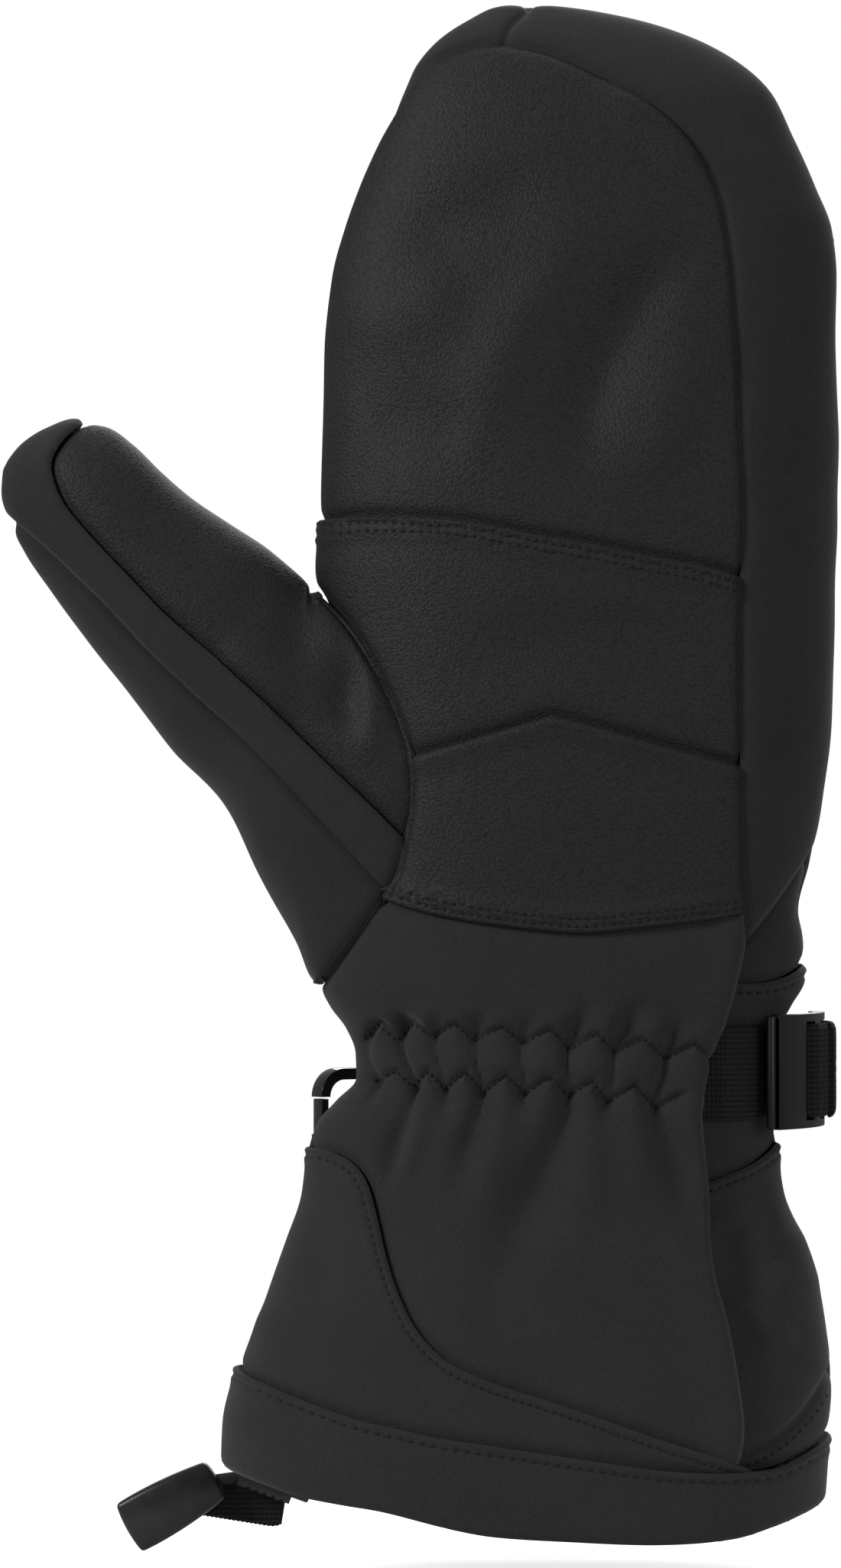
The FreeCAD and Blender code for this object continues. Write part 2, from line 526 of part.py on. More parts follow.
spring_length = SPRING_ROOM - BUTTON_TRAVEL - 0.1
spring_at = Vector(button_from - SPRING_ROOM + 0.05, 0, 0)
spring = Part.makeCylinder(button_radius - 0.4, spring_length, spring_at, ALONG)
spring = spring.cut(Part.makeCylinder(button_radius - 0.4 - SPRING_WIRE, spring_length, spring_at, ALONG))
save("cord_lock_spring", place_lock(spring))

NECK_GAP = 1.5              # cord that shows between the pull and the grip's end
GRIP_CORNER, GRIP_EDGE_ROUND = 3.2, 1.8
SOCKET_DEPTH = 2.9
grip_low = Vector(-GRIP_LENGTH - NECK_GAP, -GRIP_THICK / 2, -GRIP_WIDTH / 2)
grip = Part.makeBox(GRIP_LENGTH, GRIP_THICK, GRIP_WIDTH, grip_low)
end_edges = [edge for edge in grip.Edges if abs(edge.tangentAt(edge.FirstParameter).y) > 0.9]
grip = grip.makeFillet(GRIP_CORNER, end_edges)
face_edges = [edge for edge in grip.Edges if edge.BoundBox.YLength < 0.01]
grip = grip.makeFillet(GRIP_EDGE_ROUND, face_edges)
socket_from = Vector(-SOCKET_DEPTH - NECK_GAP, 0, 0)
grip = grip.cut(Part.makeCylinder(cord_room, SOCKET_DEPTH + NECK_GAP, socket_from, ALONG))
grip.rotate(Vector(0, 0, 0), Vector(0, 1, 0), -GRIP_TILT)
grip.translate(GRIP_NECK)
save("cord_end_grip", grip)

TAB_LENGTH, TAB_WIDTH, TAB_CORNER, TAB_TURN = 17.0, 8.6, 2.2, 9.0
tab = Part.makeBox(TAB_LENGTH, TAB_THICK, TAB_WIDTH, Vector(-69, LOCK_MID.y + LOCK_RADIUS + 0.05, -6.4))
tab_edges = [edge for edge in tab.Edges if edge.BoundBox.YLength > TAB_THICK / 2]
tab = tab.makeFillet(TAB_CORNER, tab_edges)
tab.rotate(Vector(-60, 0, -3.5), Vector(0, 1, 0), TAB_TURN)
save("cord_tab", tab)
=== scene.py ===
import math

import bpy
import numpy as np
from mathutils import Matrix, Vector
from mathutils.bvhtree import BVHTree


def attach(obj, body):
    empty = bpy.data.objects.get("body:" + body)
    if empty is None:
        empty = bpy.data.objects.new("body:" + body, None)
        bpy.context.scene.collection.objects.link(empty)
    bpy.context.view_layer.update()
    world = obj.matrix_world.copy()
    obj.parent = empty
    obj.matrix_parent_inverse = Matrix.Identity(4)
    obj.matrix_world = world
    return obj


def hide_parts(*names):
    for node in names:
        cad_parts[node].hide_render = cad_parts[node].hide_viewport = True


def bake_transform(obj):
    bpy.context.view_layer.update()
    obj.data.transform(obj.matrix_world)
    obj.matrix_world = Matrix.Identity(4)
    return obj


# A left-hand ski mitten. Sizes in this script are millimetres unless a name says otherwise;
# MM turns them to metres. x runs to the little finger, y to the back of the hand, z to the tips.

MM = 0.001
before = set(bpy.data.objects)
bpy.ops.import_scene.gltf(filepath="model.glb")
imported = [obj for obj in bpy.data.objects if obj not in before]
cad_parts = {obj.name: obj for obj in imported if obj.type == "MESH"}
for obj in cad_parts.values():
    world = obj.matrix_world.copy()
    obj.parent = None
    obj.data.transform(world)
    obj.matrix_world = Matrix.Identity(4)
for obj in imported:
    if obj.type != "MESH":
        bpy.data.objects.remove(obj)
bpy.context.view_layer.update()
bpy.ops.object.select_all(action="DESELECT")

# ---- fineness ---------------------------------------------------------------------------------
HAND_AROUND, HAND_ALONG = ((400, 440))
THUMB_AROUND, THUMB_ALONG = ((220, 200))

# ---- hand: height, edge at the thumb, edge at the little finger, depth of palm, depth of back ---
HAND = np.array([
    (-12, -64.4, 62.6, 35.4, 36), (0, -64.6, 62.9, 36, 36.6), (8.5, -64.6, 63.4, 36.4, 37),
    (18, -64.2, 63.9, 36, 36.6), (28, -61.8, 64.3, 35.4, 35.8), (37.5, -57.6, 63.2, 34.6, 35),
    (47, -54.3, 61.6, 33.4, 34), (57, -50.7, 58.4, 31.6, 32.6), (66.5, -47.6, 54.4, 30, 31),
    (75, -46.5, 53.2, 28.8, 29.8), (81, -44.6, 52.2, 28, 29), (86, -40.4, 51.8, 27.2, 28.2),
    (91, -36.2, 51.6, 26.8, 27.4), (96, -36.4, 52.2, 26.6, 27.2), (101, -38.2, 53.4, 27, 27.4),
    (106, -41.8, 56, 27.4, 27.8), (111, -44.2, 58.4, 28, 28), (118, -43.6, 58.7, 28.6, 28.6),
    (126, -43, 57.8, 29, 29), (136, -42, 60.2, 29.6, 29.8), (150, -41.6, 62.6, 30.2, 31),
    (166, -41.8, 64.3, 30.2, 32), (182, -43.4, 64.8, 29.8, 31.8), (197, -44.8, 65, 29.2, 31),
    (211, -43.7, 65.4, 28.2, 30), (226, -43.2, 65.5, 27, 29), (245, -42.6, 64.9, 25.2, 27.4),
    (260, -41, 65.3, 23.6, 25.8), (269.5, -38.6, 64.4, 22.6, 24.6), (279, -35.3, 60.8, 21.4, 23.4),
    (288.7, -31.4, 56.3, 19.6, 21.4), (298.3, -27.6, 51.6, 17.2, 18.8), (305, -23.6, 44.6, 14.6, 16),
    (310, -19, 35.6, 11.6, 12.8), (314.2, -12.8, 22.2, 8, 8.8), (316.8, -7.8, 8, 4.4, 4.8),
    (317.8, -3.6, -3.6, 0, 0)])
HAND_POWER = 2.4

# ---- thumb: upper edge x, z, lower edge x, z, half depth ----------------------------------------
THUMB = [(-46.5, 195.6, -48.6, 119.4, 19.5), (-54.7, 202.4, -56.5, 133.6, 19),
         (-61.5, 206.9, -64.5, 149.4, 18.2), (-69.7, 212.5, -74.5, 159.9, 17.4),
         (-76.6, 218.2, -84, 171.9, 16.4), (-83, 224.2, -93, 183.4, 15.4),
         (-89, 228.2, -100.2, 193.4, 13.8), (-95.5, 229.3, -105.6, 201.2, 11.8),
         (-101.3, 227.8, -109.2, 207.6, 9), (-106.2, 224.8, -110.6, 214, 5.4),
         (-108.8, 221.8, -110.4, 218.4, 2.4), (-109.8, 220.2, -109.8, 220.2, 0)]
THUMB_POWER = 2.2
THUMB_MID_Y = -3.0

# ---- seam lines on the palm side, x and z -------------------------------------------------------
THUMB_SEAM_PALM = [(-44.2, 193.6), (-37.8, 186.4), (-33.2, 179), (-29.1, 170.8), (-26.4, 164.1),
                   (-25, 158.7), (-24.6, 150.5), (-25, 145.9), (-26.4, 138.9), (-28.3, 132.2),
                   (-33.2, 124.8), (-38.5, 117.4), (-43.6, 110.4)]
THUMB_SEAM_BACK = [(-44.2, 193.6), (-39.5, 186), (-36, 177), (-34, 166), (-33.6, 154), (-34.6, 141),
                   (-37.2, 128), (-40.5, 118), (-43.6, 110.4)]
OPENING = [(-90, 14), (-70, 10.2), (-64, 9), (-56, 6.8), (-48.5, 4.8), (-39.5, 3.4), (-30.4, 2.1),
           (-15.8, -1.4), (-7.1, -2.9), (8.4, -3.9), (27.4, -4.7), (42.8, -3.9), (51.5, -1.8), (57, -0.2),
           (61.5, 1.2), (90, 12)]
HEM = [(-90, 40), (-60.2, 29.6), (-52, 26.7), (-43.3, 23.7), (-34.8, 21.1), (-26.1, 19.3), (-17.5, 17.5),
       (-8.9, 16.3), (-0.2, 15), (8.4, 13.7), (17.1, 12.4), (25.6, 11.1), (34.3, 10.3), (43.8, 10),
       (51.5, 10.6), (57.5, 12.9), (63.1, 15.5), (90, 30)]
CUFF_CURVE = [(-90, 77.5), (-60, 77.2), (-45.6, 76.5), (-40.7, 75.8), (-36.1, 73.3), (-33.5, 69.4),
              (-31.7, 63.3), (-29.6, 54.7), (-27, 46.9), (-23.5, 40.1), (-18.4, 34.5), (-13.2, 31.4),
              (-4.5, 28), (4, 25.4), (12.7, 22.4), (21.3, 19.3), (29.9, 16.3), (38.6, 13.4), (46, 10.6),
              (60, 4)]
FOLD = [(50, 136), (45.4, 124.6), (45.2, 118.8), (43.5, 110.9), (41.9, 105.1), (40.6, 100.8), (38.8, 95.5),
        (36.9, 87.6), (36.2, 83.6), (36.5, 79.2), (37.7, 69.9), (38.6, 52.2), (41.5, 40.9), (44.1, 26.2),
        (44.8, 19.3), (44.4, 13.4), (44, 0)]
GUSSET_LOW = [(90, 172), (58.3, 134.8), (53.3, 128.2), (48.5, 122.8), (45.4, 119.1), (38, 110)]
WRIST_GUSSET_LOW = [(30, 110.4), (43.5, 110.9), (49.4, 110.9), (53.8, 112.1), (58.3, 114.5), (90, 132)]
PINKY_WRIST_LOW = [(30, 69), (38, 69.9), (42.8, 71.6), (47.2, 73.4), (51.2, 76.2), (54, 78.4), (90, 104)]
SMALL_SEAM = [(36, 10), (45.4, 12.9), (51.5, 15.9), (57.5, 21.1), (63.6, 28.8), (80, 50)]
HEEL = [(-90, 136), (-40, 131), (-28.7, 128.2), (-19.6, 125.7), (-6, 123.5), (10.9, 122), (24.5, 123.2),
        (44.4, 125.4), (60, 127.5)]
CHEVRON = [(-90, 140), (-24, 158.7), (-9.3, 162.9), (-0.6, 165.5), (4.4, 167), (6, 167), (21.1, 162.8),
           (31.2, 160), (43.8, 156.7), (80, 147)]
UPPER = [(-90, 209.2), (-43, 208.3), (-33.2, 208.7), (-23, 208.3), (-12.7, 207.4), (0.8, 204.8),
         (14.3, 202.4), (24.5, 200.3), (34.6, 198.4), (44.1, 195.9), (80, 187)]
PALM_EDGE = [(-90, 236), (-50, 270), (-36, 284.5), (-29.8, 293.7), (-25.3, 301.1), (-20.8, 304.9),
             (-15.1, 307.2), (-8.9, 308.3), (1.9, 307), (10.9, 303.3), (22.2, 297), (30.1, 290.9),
             (35.7, 284.2), (39.6, 277.2), (41.4, 269.4), (42.7, 259.2), (43.6, 244.6), (44.3, 227.7),
             (44.8, 216.4), (45.1, 205.3), (44.4, 195.9), (44.4, 156.7), (44.8, 147.2), (45.4, 126.9),
             (45.3, 110), (45.3, 60)]
TIP = [(4, 330), (0.2, 317), (-3.9, 312.3), (-5.3, 308.3), (-6, 300)]
# on the back
BACK_TIP = [(-90, 250), (-44, 262), (-26, 268), (-4, 273.5), (18, 274.5), (42, 271), (58, 268), (66, 266.5),
            (90, 261)]
BACK_KNUCKLE = [(-90, 186), (-44, 197), (-20, 203), (8, 206), (36, 204), (64, 198), (90, 192)]
BACK_WRIST = [(-90, 120), (-44, 112.5), (-16, 108.6), (20, 108.6), (46, 111.4), (59.2, 115), (90, 125)]
PATCH = [(-90, 240), (-34, 239), (-29, 231), (-27, 218), (-29, 205), (-34, 197), (-90, 196)]

# thumb panels
THUMB_STRIP_TOP = [(-85, 246), (-90.6, 234), (-93.9, 228.8), (-97.2, 225.4), (-99.7, 220.7), (-99.3, 216.7),
                   (-96.8, 211.1), (-91, 204.1), (-82.3, 195), (-75.5, 188), (-65, 178.9), (-53.6, 168.4),
                   (-42, 157), (-32.4, 147.8), (-26.4, 141.7), (-10, 126)]
THUMB_STRIP_LOW = [(-122, 219), (-107.9, 206.4), (-102.4, 201.9), (-96.1, 196.1), (-88.1, 188.5),
                   (-79.5, 179.4), (-70.8, 171.3), (-59.4, 161), (-47.3, 148.9), (-29.8, 129.9), (-18, 117)]

# zigzag shirring on the wrist
SHIR_UPPER = [(-34.6, 99), (-31.7, 102.6), (-27.6, 99.2), (-24.3, 103), (-19.9, 99.9), (-15.5, 102.9),
              (-11.4, 99.3), (-5.5, 102.3), (-1.4, 98.6), (4.5, 101.9), (8.4, 97.4), (14.2, 101),
              (17.9, 96.7), (23.8, 100), (28.8, 95.5), (34.6, 98.9), (38.4, 94.8)]
SHIR_LOWER = [(-32.5, 90.4), (-27.9, 92.9), (-24.3, 89.6), (-21.2, 93.2), (-17.8, 89.3), (-13.2, 92.9),
              (-9.8, 88.6), (-4.7, 92.4), (-1, 88.2), (4.2, 92.1), (8.4, 87.9), (13, 91.3), (16.4, 86.4),
              (22, 90.4), (26.6, 85.3), (31.6, 88.2)]


# ======================================= curves and surfaces =====================================
def even_spline(keys, values, at):
    """Values at the given keys by a monotone cubic, one column at a time."""
    flat = values.ndim == 1
    columns = values[:, None] if flat else values
    step = np.diff(keys)[:, None]
    slope = np.diff(columns, axis=0) / step
    before, after = slope[:-1], slope[1:]
    w1 = 2 * step[1:] + step[:-1]
    w2 = step[1:] + 2 * step[:-1]
    rising = before * after > 0
    safe = np.where(rising, w1 / np.where(rising, before, 1) + w2 / np.where(rising, after, 1), 1)
    tangent = np.vstack([slope[:1], np.where(rising, (w1 + w2) / safe, 0), slope[-1:]])
    place = np.clip(np.searchsorted(keys, at) - 1, 0, len(keys) - 2)
    h = step[place]
    t = (at - keys[place])[:, None] / h
    out = ((2 * t ** 3 - 3 * t ** 2 + 1) * columns[place] + (t ** 3 - 2 * t ** 2 + t) * h * tangent[place]
           + (3 * t ** 2 - 2 * t ** 3) * columns[place + 1] + (t ** 3 - t ** 2) * h * tangent[place + 1])
    return out[:, 0] if flat else out


def smooth_line(points, spacing=1.0):
    """A Catmull-Rom line through the points, sampled evenly."""
    pts = np.array(points, float)
    ends = np.vstack([2 * pts[0] - pts[1], pts, 2 * pts[-1] - pts[-2]])
    out = []
    for index in range(1, len(ends) - 2):
        p0, p1, p2, p3 = ends[index - 1:index + 3]
        count = max(2, int(np.linalg.norm(p2 - p1) / 0.5))
        d1 = max(np.linalg.norm(p2 - p1), 1e-6)
        m1 = (p2 - p0) / (np.linalg.norm(p1 - p0) + d1) * d1
        m2 = (p3 - p1) / (np.linalg.norm(p3 - p2) + d1) * d1
        for t in np.arange(count) / count:
            out.append((2 * t ** 3 - 3 * t ** 2 + 1) * p1 + (t ** 3 - 2 * t ** 2 + t) * m1
                       + (3 * t ** 2 - 2 * t ** 3) * p2 + (t ** 3 - t ** 2) * m2)
    out.append(pts[-1])
    out = np.array(out)
    return walk(out, spacing)


def walk(line, spacing):
    """The same line with points at an even spacing."""
    length = np.concatenate([[0], np.cumsum(np.linalg.norm(np.diff(line, axis=0), axis=1))])
    count = max(2, int(round(length[-1] / spacing)) + 1)
    at = np.linspace(0, length[-1], count)
    return np.stack([np.interp(at, length, line[:, k]) for k in range(line.shape[1])], axis=1)


def signed_distance(xz, line):
    """Distance to a line in the x-z plane, positive on its right-hand side as it runs."""
    best = np.full(len(xz), 1e9)
    sign = np.ones(len(xz))
    for a, b in zip(line[:-1], line[1:]):
        along = b - a
        size = along @ along
        rel = xz - a
        t = np.clip((rel @ along) / size, 0, 1)
        gap = rel - t[:, None] * along
        d = np.einsum("ij,ij->i", gap, gap)
        side = along[1] * rel[:, 0] - along[0] * rel[:, 1]
        closer = d < best
        best = np.where(closer, d, best)
        sign = np.where(closer, np.where(side >= 0, 1.0, -1.0), sign)
    return np.sqrt(best) * sign


def beside(line, distance):
    """The line moved sideways, to its right when the distance is positive."""
    way = np.gradient(line, axis=0)
    way /= np.linalg.norm(way, axis=1)[:, None]
    return line + distance * np.stack([way[:, 1], -way[:, 0]], axis=1)


def power(value, exponent):
    return np.sign(value) * np.abs(value) ** (2.0 / exponent)


def hill(distance, width):
    return np.exp(-(distance / width) ** 2)


def section_keys():
    sideways = np.maximum(np.abs(np.diff(HAND[:, 1])), np.abs(np.diff(HAND[:, 2])))
    edge = np.hypot(np.diff(HAND[:, 0]), sideways)
    return np.concatenate([[0], np.cumsum(edge)])


def mouth_share(z, mouth):
    """Layers are thinner at the opening than over the hand."""
    t = np.clip((z + 4) / 34, 0, 1)
    return mouth + (1 - mouth) * t * t * (3 - 2 * t)


TIP_START, TIP_END = 264, 317.8
TIP_WIDEST = (52.5, 23.2, 25.4)         # half width, palm depth and back depth where the tip starts


def hand_sections(along, inset=(0, 0, 0, 0), wrist_detail=0.0, mouth=0.42):
    side, palm, back, top = inset
    keys = section_keys()
    fine = np.linspace(0, keys[-1], 4000)
    height = even_spline(keys, HAND[:, 0], fine)
    crowd = 1 + wrist_detail * hill(height - 95, 14) + 0.5 * wrist_detail * hill(height - 80, 30)
    run = np.concatenate([[0], np.cumsum((crowd[1:] + crowd[:-1]) / 2)])
    at = np.interp(np.linspace(0, run[-1], along), run, fine)
    z, left, right, front, rear = [even_spline(keys, HAND[:, k], at) for k in range(5)]
    middle, half = (left + right) / 2, (right - left) / 2
    share = mouth_share(z, mouth)
    lower = np.clip((z - TIP_START) / (TIP_END - TIP_START), 0, 1)
    z = z - lower * top
    sizes = []
    # the closed tip shrinks in proportion, and the tube below it by an even wall
    for size, widest, wall in zip((half, front, rear), TIP_WIDEST, (side, palm, back)):
        shrunk = size * np.where(lower > 0, (widest - wall) / widest, 1)
        sizes.append(shrunk - np.where(lower > 0, 0, wall * share))
    half, front, rear = sizes
    return z, middle, half, front, rear


def grid_triangles(rows, around):
    """Triangles of a tube of rings, closed by a single point after the last full ring."""
    a = np.arange(rows - 2)[:, None] * around + np.arange(around)[None, :]
    b = np.arange(rows - 2)[:, None] * around + (np.arange(around)[None, :] + 1) % around
    c, d = b + around, a + around
    tris = np.concatenate([np.stack([a, b, c], -1).reshape(-1, 3), np.stack([a, c, d], -1).reshape(-1, 3)])
    last = (rows - 2) * around
    pole = (rows - 1) * around
    ring = np.arange(around)
    fan = np.stack([last + ring, last + (ring + 1) % around, np.full(around, pole)], -1)
    return np.concatenate([tris, fan])


def vertex_normals(points, tris):
    a, b, c = points[tris[:, 0]], points[tris[:, 1]], points[tris[:, 2]]
    face = np.cross(b - a, c - a)
    out = np.zeros_like(points)
    for k in range(3):
        np.add.at(out, tris[:, k], face)
    size = np.linalg.norm(out, axis=1)
    return out / np.maximum(size, 1e-12)[:, None]


def hand_surface(around, along, inset=(0, 0, 0, 0), wrist_detail=0.0, palm_detail=0.0, mouth=0.42):
    """Points and normals (six columns) and triangles of the closed-tip hand form."""
    z, middle, half, front, rear = hand_sections(along, inset, wrist_detail, mouth)
    angle = np.arange(around) / around * 2 * math.pi
    # the points crowd towards the middle of the palm side, where the folds are
    angle = angle + palm_detail * np.cos(angle)
    c, s = np.cos(angle), np.sin(angle)
    x = middle[:-1, None] + half[:-1, None] * power(c, HAND_POWER)[None, :]
    depth = np.where(s[None, :] > 0, rear[:-1, None], front[:-1, None])
    y = depth * power(s, HAND_POWER)[None, :]
    ring = np.stack([x, y, np.repeat(z[:-1, None], around, 1)], -1).reshape(-1, 3)
    points = np.vstack([ring, [[middle[-1], 0, z[-1]]]])
    tris = grid_triangles(along, around)
    tris[tris == (along - 1) * around] = len(points) - 1
    return np.hstack([points, vertex_normals(points, tris)]), tris


def hand_depth(x, z, side):
    """y of the plain hand form at x, z on the palm side (-1) or the back (+1)."""
    keys = section_keys()
    fine = np.linspace(0, keys[-1], 3000)
    table = [even_spline(keys, HAND[:, k], fine) for k in range(5)]
    left, right, front, rear = [np.interp(z, table[0], table[k]) for k in range(1, 5)]
    share = np.clip(np.abs((x - (left + right) / 2) / ((right - left) / 2)), 0, 1)
    reach = (1 - share ** HAND_POWER) ** (1 / HAND_POWER)
    return np.where(np.asarray(side) < 0, -front * reach, rear * reach)


# ======================================= cutting panels ==========================================
def cut(verts, tris, field, keep_both=False):
    """Splits a triangle mesh along field = 0. Gives the positive and the negative part."""
    field = np.where(np.abs(field) < 0.06, 0.0, field)
    f = field[tris]
    has_pos, has_neg = (f > 0).any(1), (f < 0).any(1)
    mixed = has_pos & has_neg
    whole_pos, whole_neg = tris[~mixed & ~has_neg], tris[~mixed & has_neg]
    new_pos, new_neg = [], []
    extra = []
    made = {}

    def crossing(i, j):
        key = (i, j) if i < j else (j, i)
        if key not in made:
            a, b = field[key[0]], field[key[1]]
            t = a / (a - b)
            made[key] = len(verts) + len(extra)
            extra.append(verts[key[0]] * (1 - t) + verts[key[1]] * t)
        return made[key]

    for tri in tris[mixed]:
        signs = np.sign(field[tri])
        if 0 in signs:
            k = int(np.where(signs == 0)[0][0])
            z, p, q = int(tri[k]), int(tri[(k + 1) % 3]), int(tri[(k + 2) % 3])
            m = crossing(p, q)
            (new_pos if field[p] > 0 else new_neg).append((z, p, m))
            (new_pos if field[q] > 0 else new_neg).append((z, m, q))
            continue
        lone = 1 if (signs > 0).sum() == 1 else -1
        k = int(np.where(signs == lone)[0][0])
        a, p, q = int(tri[k]), int(tri[(k + 1) % 3]), int(tri[(k + 2) % 3])
        mp, mq = crossing(a, p), crossing(a, q)
        (new_pos if lone > 0 else new_neg).append((a, mp, mq))
        other = new_neg if lone > 0 else new_pos
        other.append((mp, p, q))
        other.append((mp, q, mq))
    if extra:
        verts = np.vstack([verts, np.array(extra)])
    pos = np.vstack([whole_pos, np.array(new_pos, int).reshape(-1, 3)])
    neg = np.vstack([whole_neg, np.array(new_neg, int).reshape(-1, 3)])
    if keep_both:
        return verts, np.vstack([pos, neg])
    return compact(verts, pos), compact(verts, neg)


def compact(verts, tris):
    used = np.unique(tris)
    index = np.full(len(verts), -1)
    index[used] = np.arange(len(used))
    return verts[used], index[tris]


def split(mesh, *lines):
    """Cuts by one line, or by the space to the right of several lines at once."""
    verts, tris = mesh
    field = np.full(len(verts), 1e9)
    for line in lines:
        field = np.minimum(field, signed_distance(verts[:, [0, 2]], line))
    return cut(verts, tris, field)


def add_rows(mesh, line, distances, reach=6):
    """Puts rows of points beside a seam, so that its rolled edge has a shape of its own."""
    verts, tris = mesh
    for d in distances:
        field = np.abs(signed_distance(verts[:, [0, 2]], line)) - d
        near = (np.abs(field[tris]) < reach).all(1)
        near_verts, near_tris = compact(verts, tris[near])
        if len(near_tris) == 0:
            continue
        # work on the near part only and sew it back by position
        used = np.unique(tris[near])
        sub_field = field[used]
        new_verts, new_tris = cut(near_verts, near_tris, sub_field, keep_both=True)
        count = len(near_verts)
        mapping = np.concatenate([used, len(verts) + np.arange(len(new_verts) - count)]).astype(int)
        verts = np.vstack([verts, new_verts[count:]])
        tris = np.vstack([tris[~near], mapping[new_tris]])
    return verts, tris


def edge_relief(kind, d):
    """Height beside a seam at distance d, in millimetres."""
    roll = np.clip(1 - d / 0.9, 0, 1) ** 2
    if kind in ("butt", "tuck"):
        return -0.85 * hill(d, 0.9) - 0.45 * hill(d, 2.6)
    if kind == "deep":
        return -1.3 * hill(d, 0.8) - 0.5 * hill(d, 2.4)
    if kind == "over":
        return -0.75 * roll + 0.55 * hill(d - 1.4, 2.4)
    if kind == "band":
        inside = 1 / (1 + np.exp((d - 4.4) / 0.35))
        rows = 0.5 * hill(d - 1.4, 0.5) + 0.5 * hill(d - 3.0, 0.5)
        return -0.7 * roll + 0.7 * inside - rows
    if kind == "under":
        return -0.9 * hill(d, 1.5) - 0.3 * hill(d, 4)
    if kind == "stitched":
        return -0.75 * roll + 0.7 * hill(d - 1.2, 2.2) - 0.5 * hill(d - 1.8, 0.55)
    if kind == "rim":
        return -0.9 * np.clip(1 - d / 1.6, 0, 1) ** 2
    if kind == "fold":
        return -1.6 * np.clip(1 - d / 2.0, 0, 1) ** 2 + 1.3 * hill(d - 2.0, 5)
    if kind == "recess":
        return -3.6 * hill(d, 8.0)
    return np.zeros_like(d)


def stroke(xz, points, width, height, ends=0.25):
    """A soft fold along a line: higher where height is positive, fading at both ends."""
    line = smooth_line(points, 1.5)
    best = np.full(len(xz), 1e9)
    place = np.zeros(len(xz))
    total = len(line) - 1
    for index, (a, b) in enumerate(zip(line[:-1], line[1:])):
        along = b - a
        rel = xz - a
        t = np.clip((rel @ along) / (along @ along), 0, 1)
        gap = rel - t[:, None] * along
        d = np.einsum("ij,ij->i", gap, gap)
        closer = d < best
        best = np.where(closer, d, best)
        place = np.where(closer, (index + t) / total, place)
    fade = np.clip(np.minimum(place, 1 - place) / ends, 0, 1)
    fade = fade * fade * (3 - 2 * fade)
    return height * fade * np.exp(-best / width ** 2)


# creases that the wrist shirring gathers, from above the upper row to below the lower one, and their depth
VALLEYS = [
    ([(-30.5, 105), (-34.6, 99), (-32.5, 90.4), (-35.4, 83)], 1.3),
    ([(-24.5, 106.5), (-27.6, 99.2), (-24.3, 89.6), (-27.8, 79.6), (-31.1, 72), (-32.4, 62)], 2.3),
    ([(-17.4, 108), (-19.9, 99.9), (-17.8, 89.3), (-17.9, 80)], 1.7),
    ([(-7.2, 109), (-11.4, 99.3), (-9.8, 88.6), (-12.4, 77), (-15.4, 66)], 2.0),
    ([(2.8, 109), (-1.4, 98.6), (-1, 88.2), (-3.2, 79)], 1.7),
    ([(13.8, 110), (8.4, 97.4), (8.4, 87.9), (5.7, 77), (0.9, 65), (-5, 50)], 2.6),
    ([(22, 108), (17.9, 96.7), (16.4, 86.4), (14.6, 76)], 1.7),
    ([(31.4, 105), (28.8, 95.5), (26.6, 85.3), (29.6, 78), (34, 68), (36.2, 58)], 2.0),
    ([(39.4, 103), (38.4, 94.8), (37.4, 86)], 1.2)]
# rounded ridges between them: line, width, height
RIDGES = [
    ([(-21.2, 95), (-22.6, 87), (-24, 78.6), (-28.6, 68), (-32, 60)], 2.3, 1.7),
    ([(-13.2, 95), (-13.8, 86), (-16.6, 74)], 2.4, 0.9),
    ([(-4.7, 95), (-5.6, 84), (-9, 70), (-14, 56)], 3.4, 1.1), ([(4.2, 95), (3.6, 86), (1, 78)], 2.0, 0.7),
    ([(13, 95), (13, 82), (11.4, 66), (9, 48)], 4.6, 1.3), ([(22, 93), (22.4, 80), (24, 64)], 3.6, 0.9),
    ([(31.6, 92), (33.6, 82), (37, 72)], 2.2, 0.8),
    ([(9, 90), (5, 76), (-1, 63), (-6, 50), (-7, 36)], 5.0, -2.2),
    ([(-25.4, 88), (-29, 73), (-32.6, 58)], 3.0, -1.8),
    ([(24, 88), (29, 77), (35, 60), (37, 46)], 3.2, -1.7), ([(-10, 88), (-13, 76), (-15, 64)], 3.0, -1.2),
    ([(-24, 98), (-29, 108)], 2.2, -1.0), ([(-11, 98), (-14.5, 109)], 2.2, -1.0),
    ([(-1, 98), (-5, 110)], 2.2, -1.1), ([(9, 97), (5, 109)], 2.4, -1.1),
    ([(18, 96), (25, 110)], 2.6, -1.2), ([(-22.8, 100), (-20.8, 108)], 2.2, 0.7),
    ([(-15.4, 100), (-12, 109)], 2.6, 0.8), ([(-5.4, 100), (-2.2, 109)], 2.8, 0.9),
    ([(4.6, 99), (8.6, 109)], 3.0, 1.0), ([(14.2, 98), (17.8, 108)], 2.8, 0.9),
    ([(23.8, 97), (26.6, 106)], 2.8, 0.8), ([(34.6, 96), (35.6, 104)], 2.2, 0.6)]
# broad drape of the palm leather and the rest
PALM_FOLDS = [
    ([(38, 270), (25, 256), (13, 233), (10, 210)], 6.5, -3.0),
    ([(22, 274), (6, 260), (-6, 240), (-10, 218)], 7.5, 1.6), ([(42, 252), (31, 234), (26, 210)], 6, 1.6),
    ([(12, 300), (28, 290), (38, 276)], 4.5, 1.3), ([(-30, 262), (-14, 270), (6, 279)], 7, -1.2),
    ([(-40, 246), (-24, 252), (-12, 258)], 7, 1.0), ([(-36, 226), (-24, 228), (-10, 224)], 7, -1.0),
    ([(-20, 176), (10, 184), (40, 178)], 9, -0.9), ([(-18, 190), (12, 192), (40, 186)], 7, 0.6)]


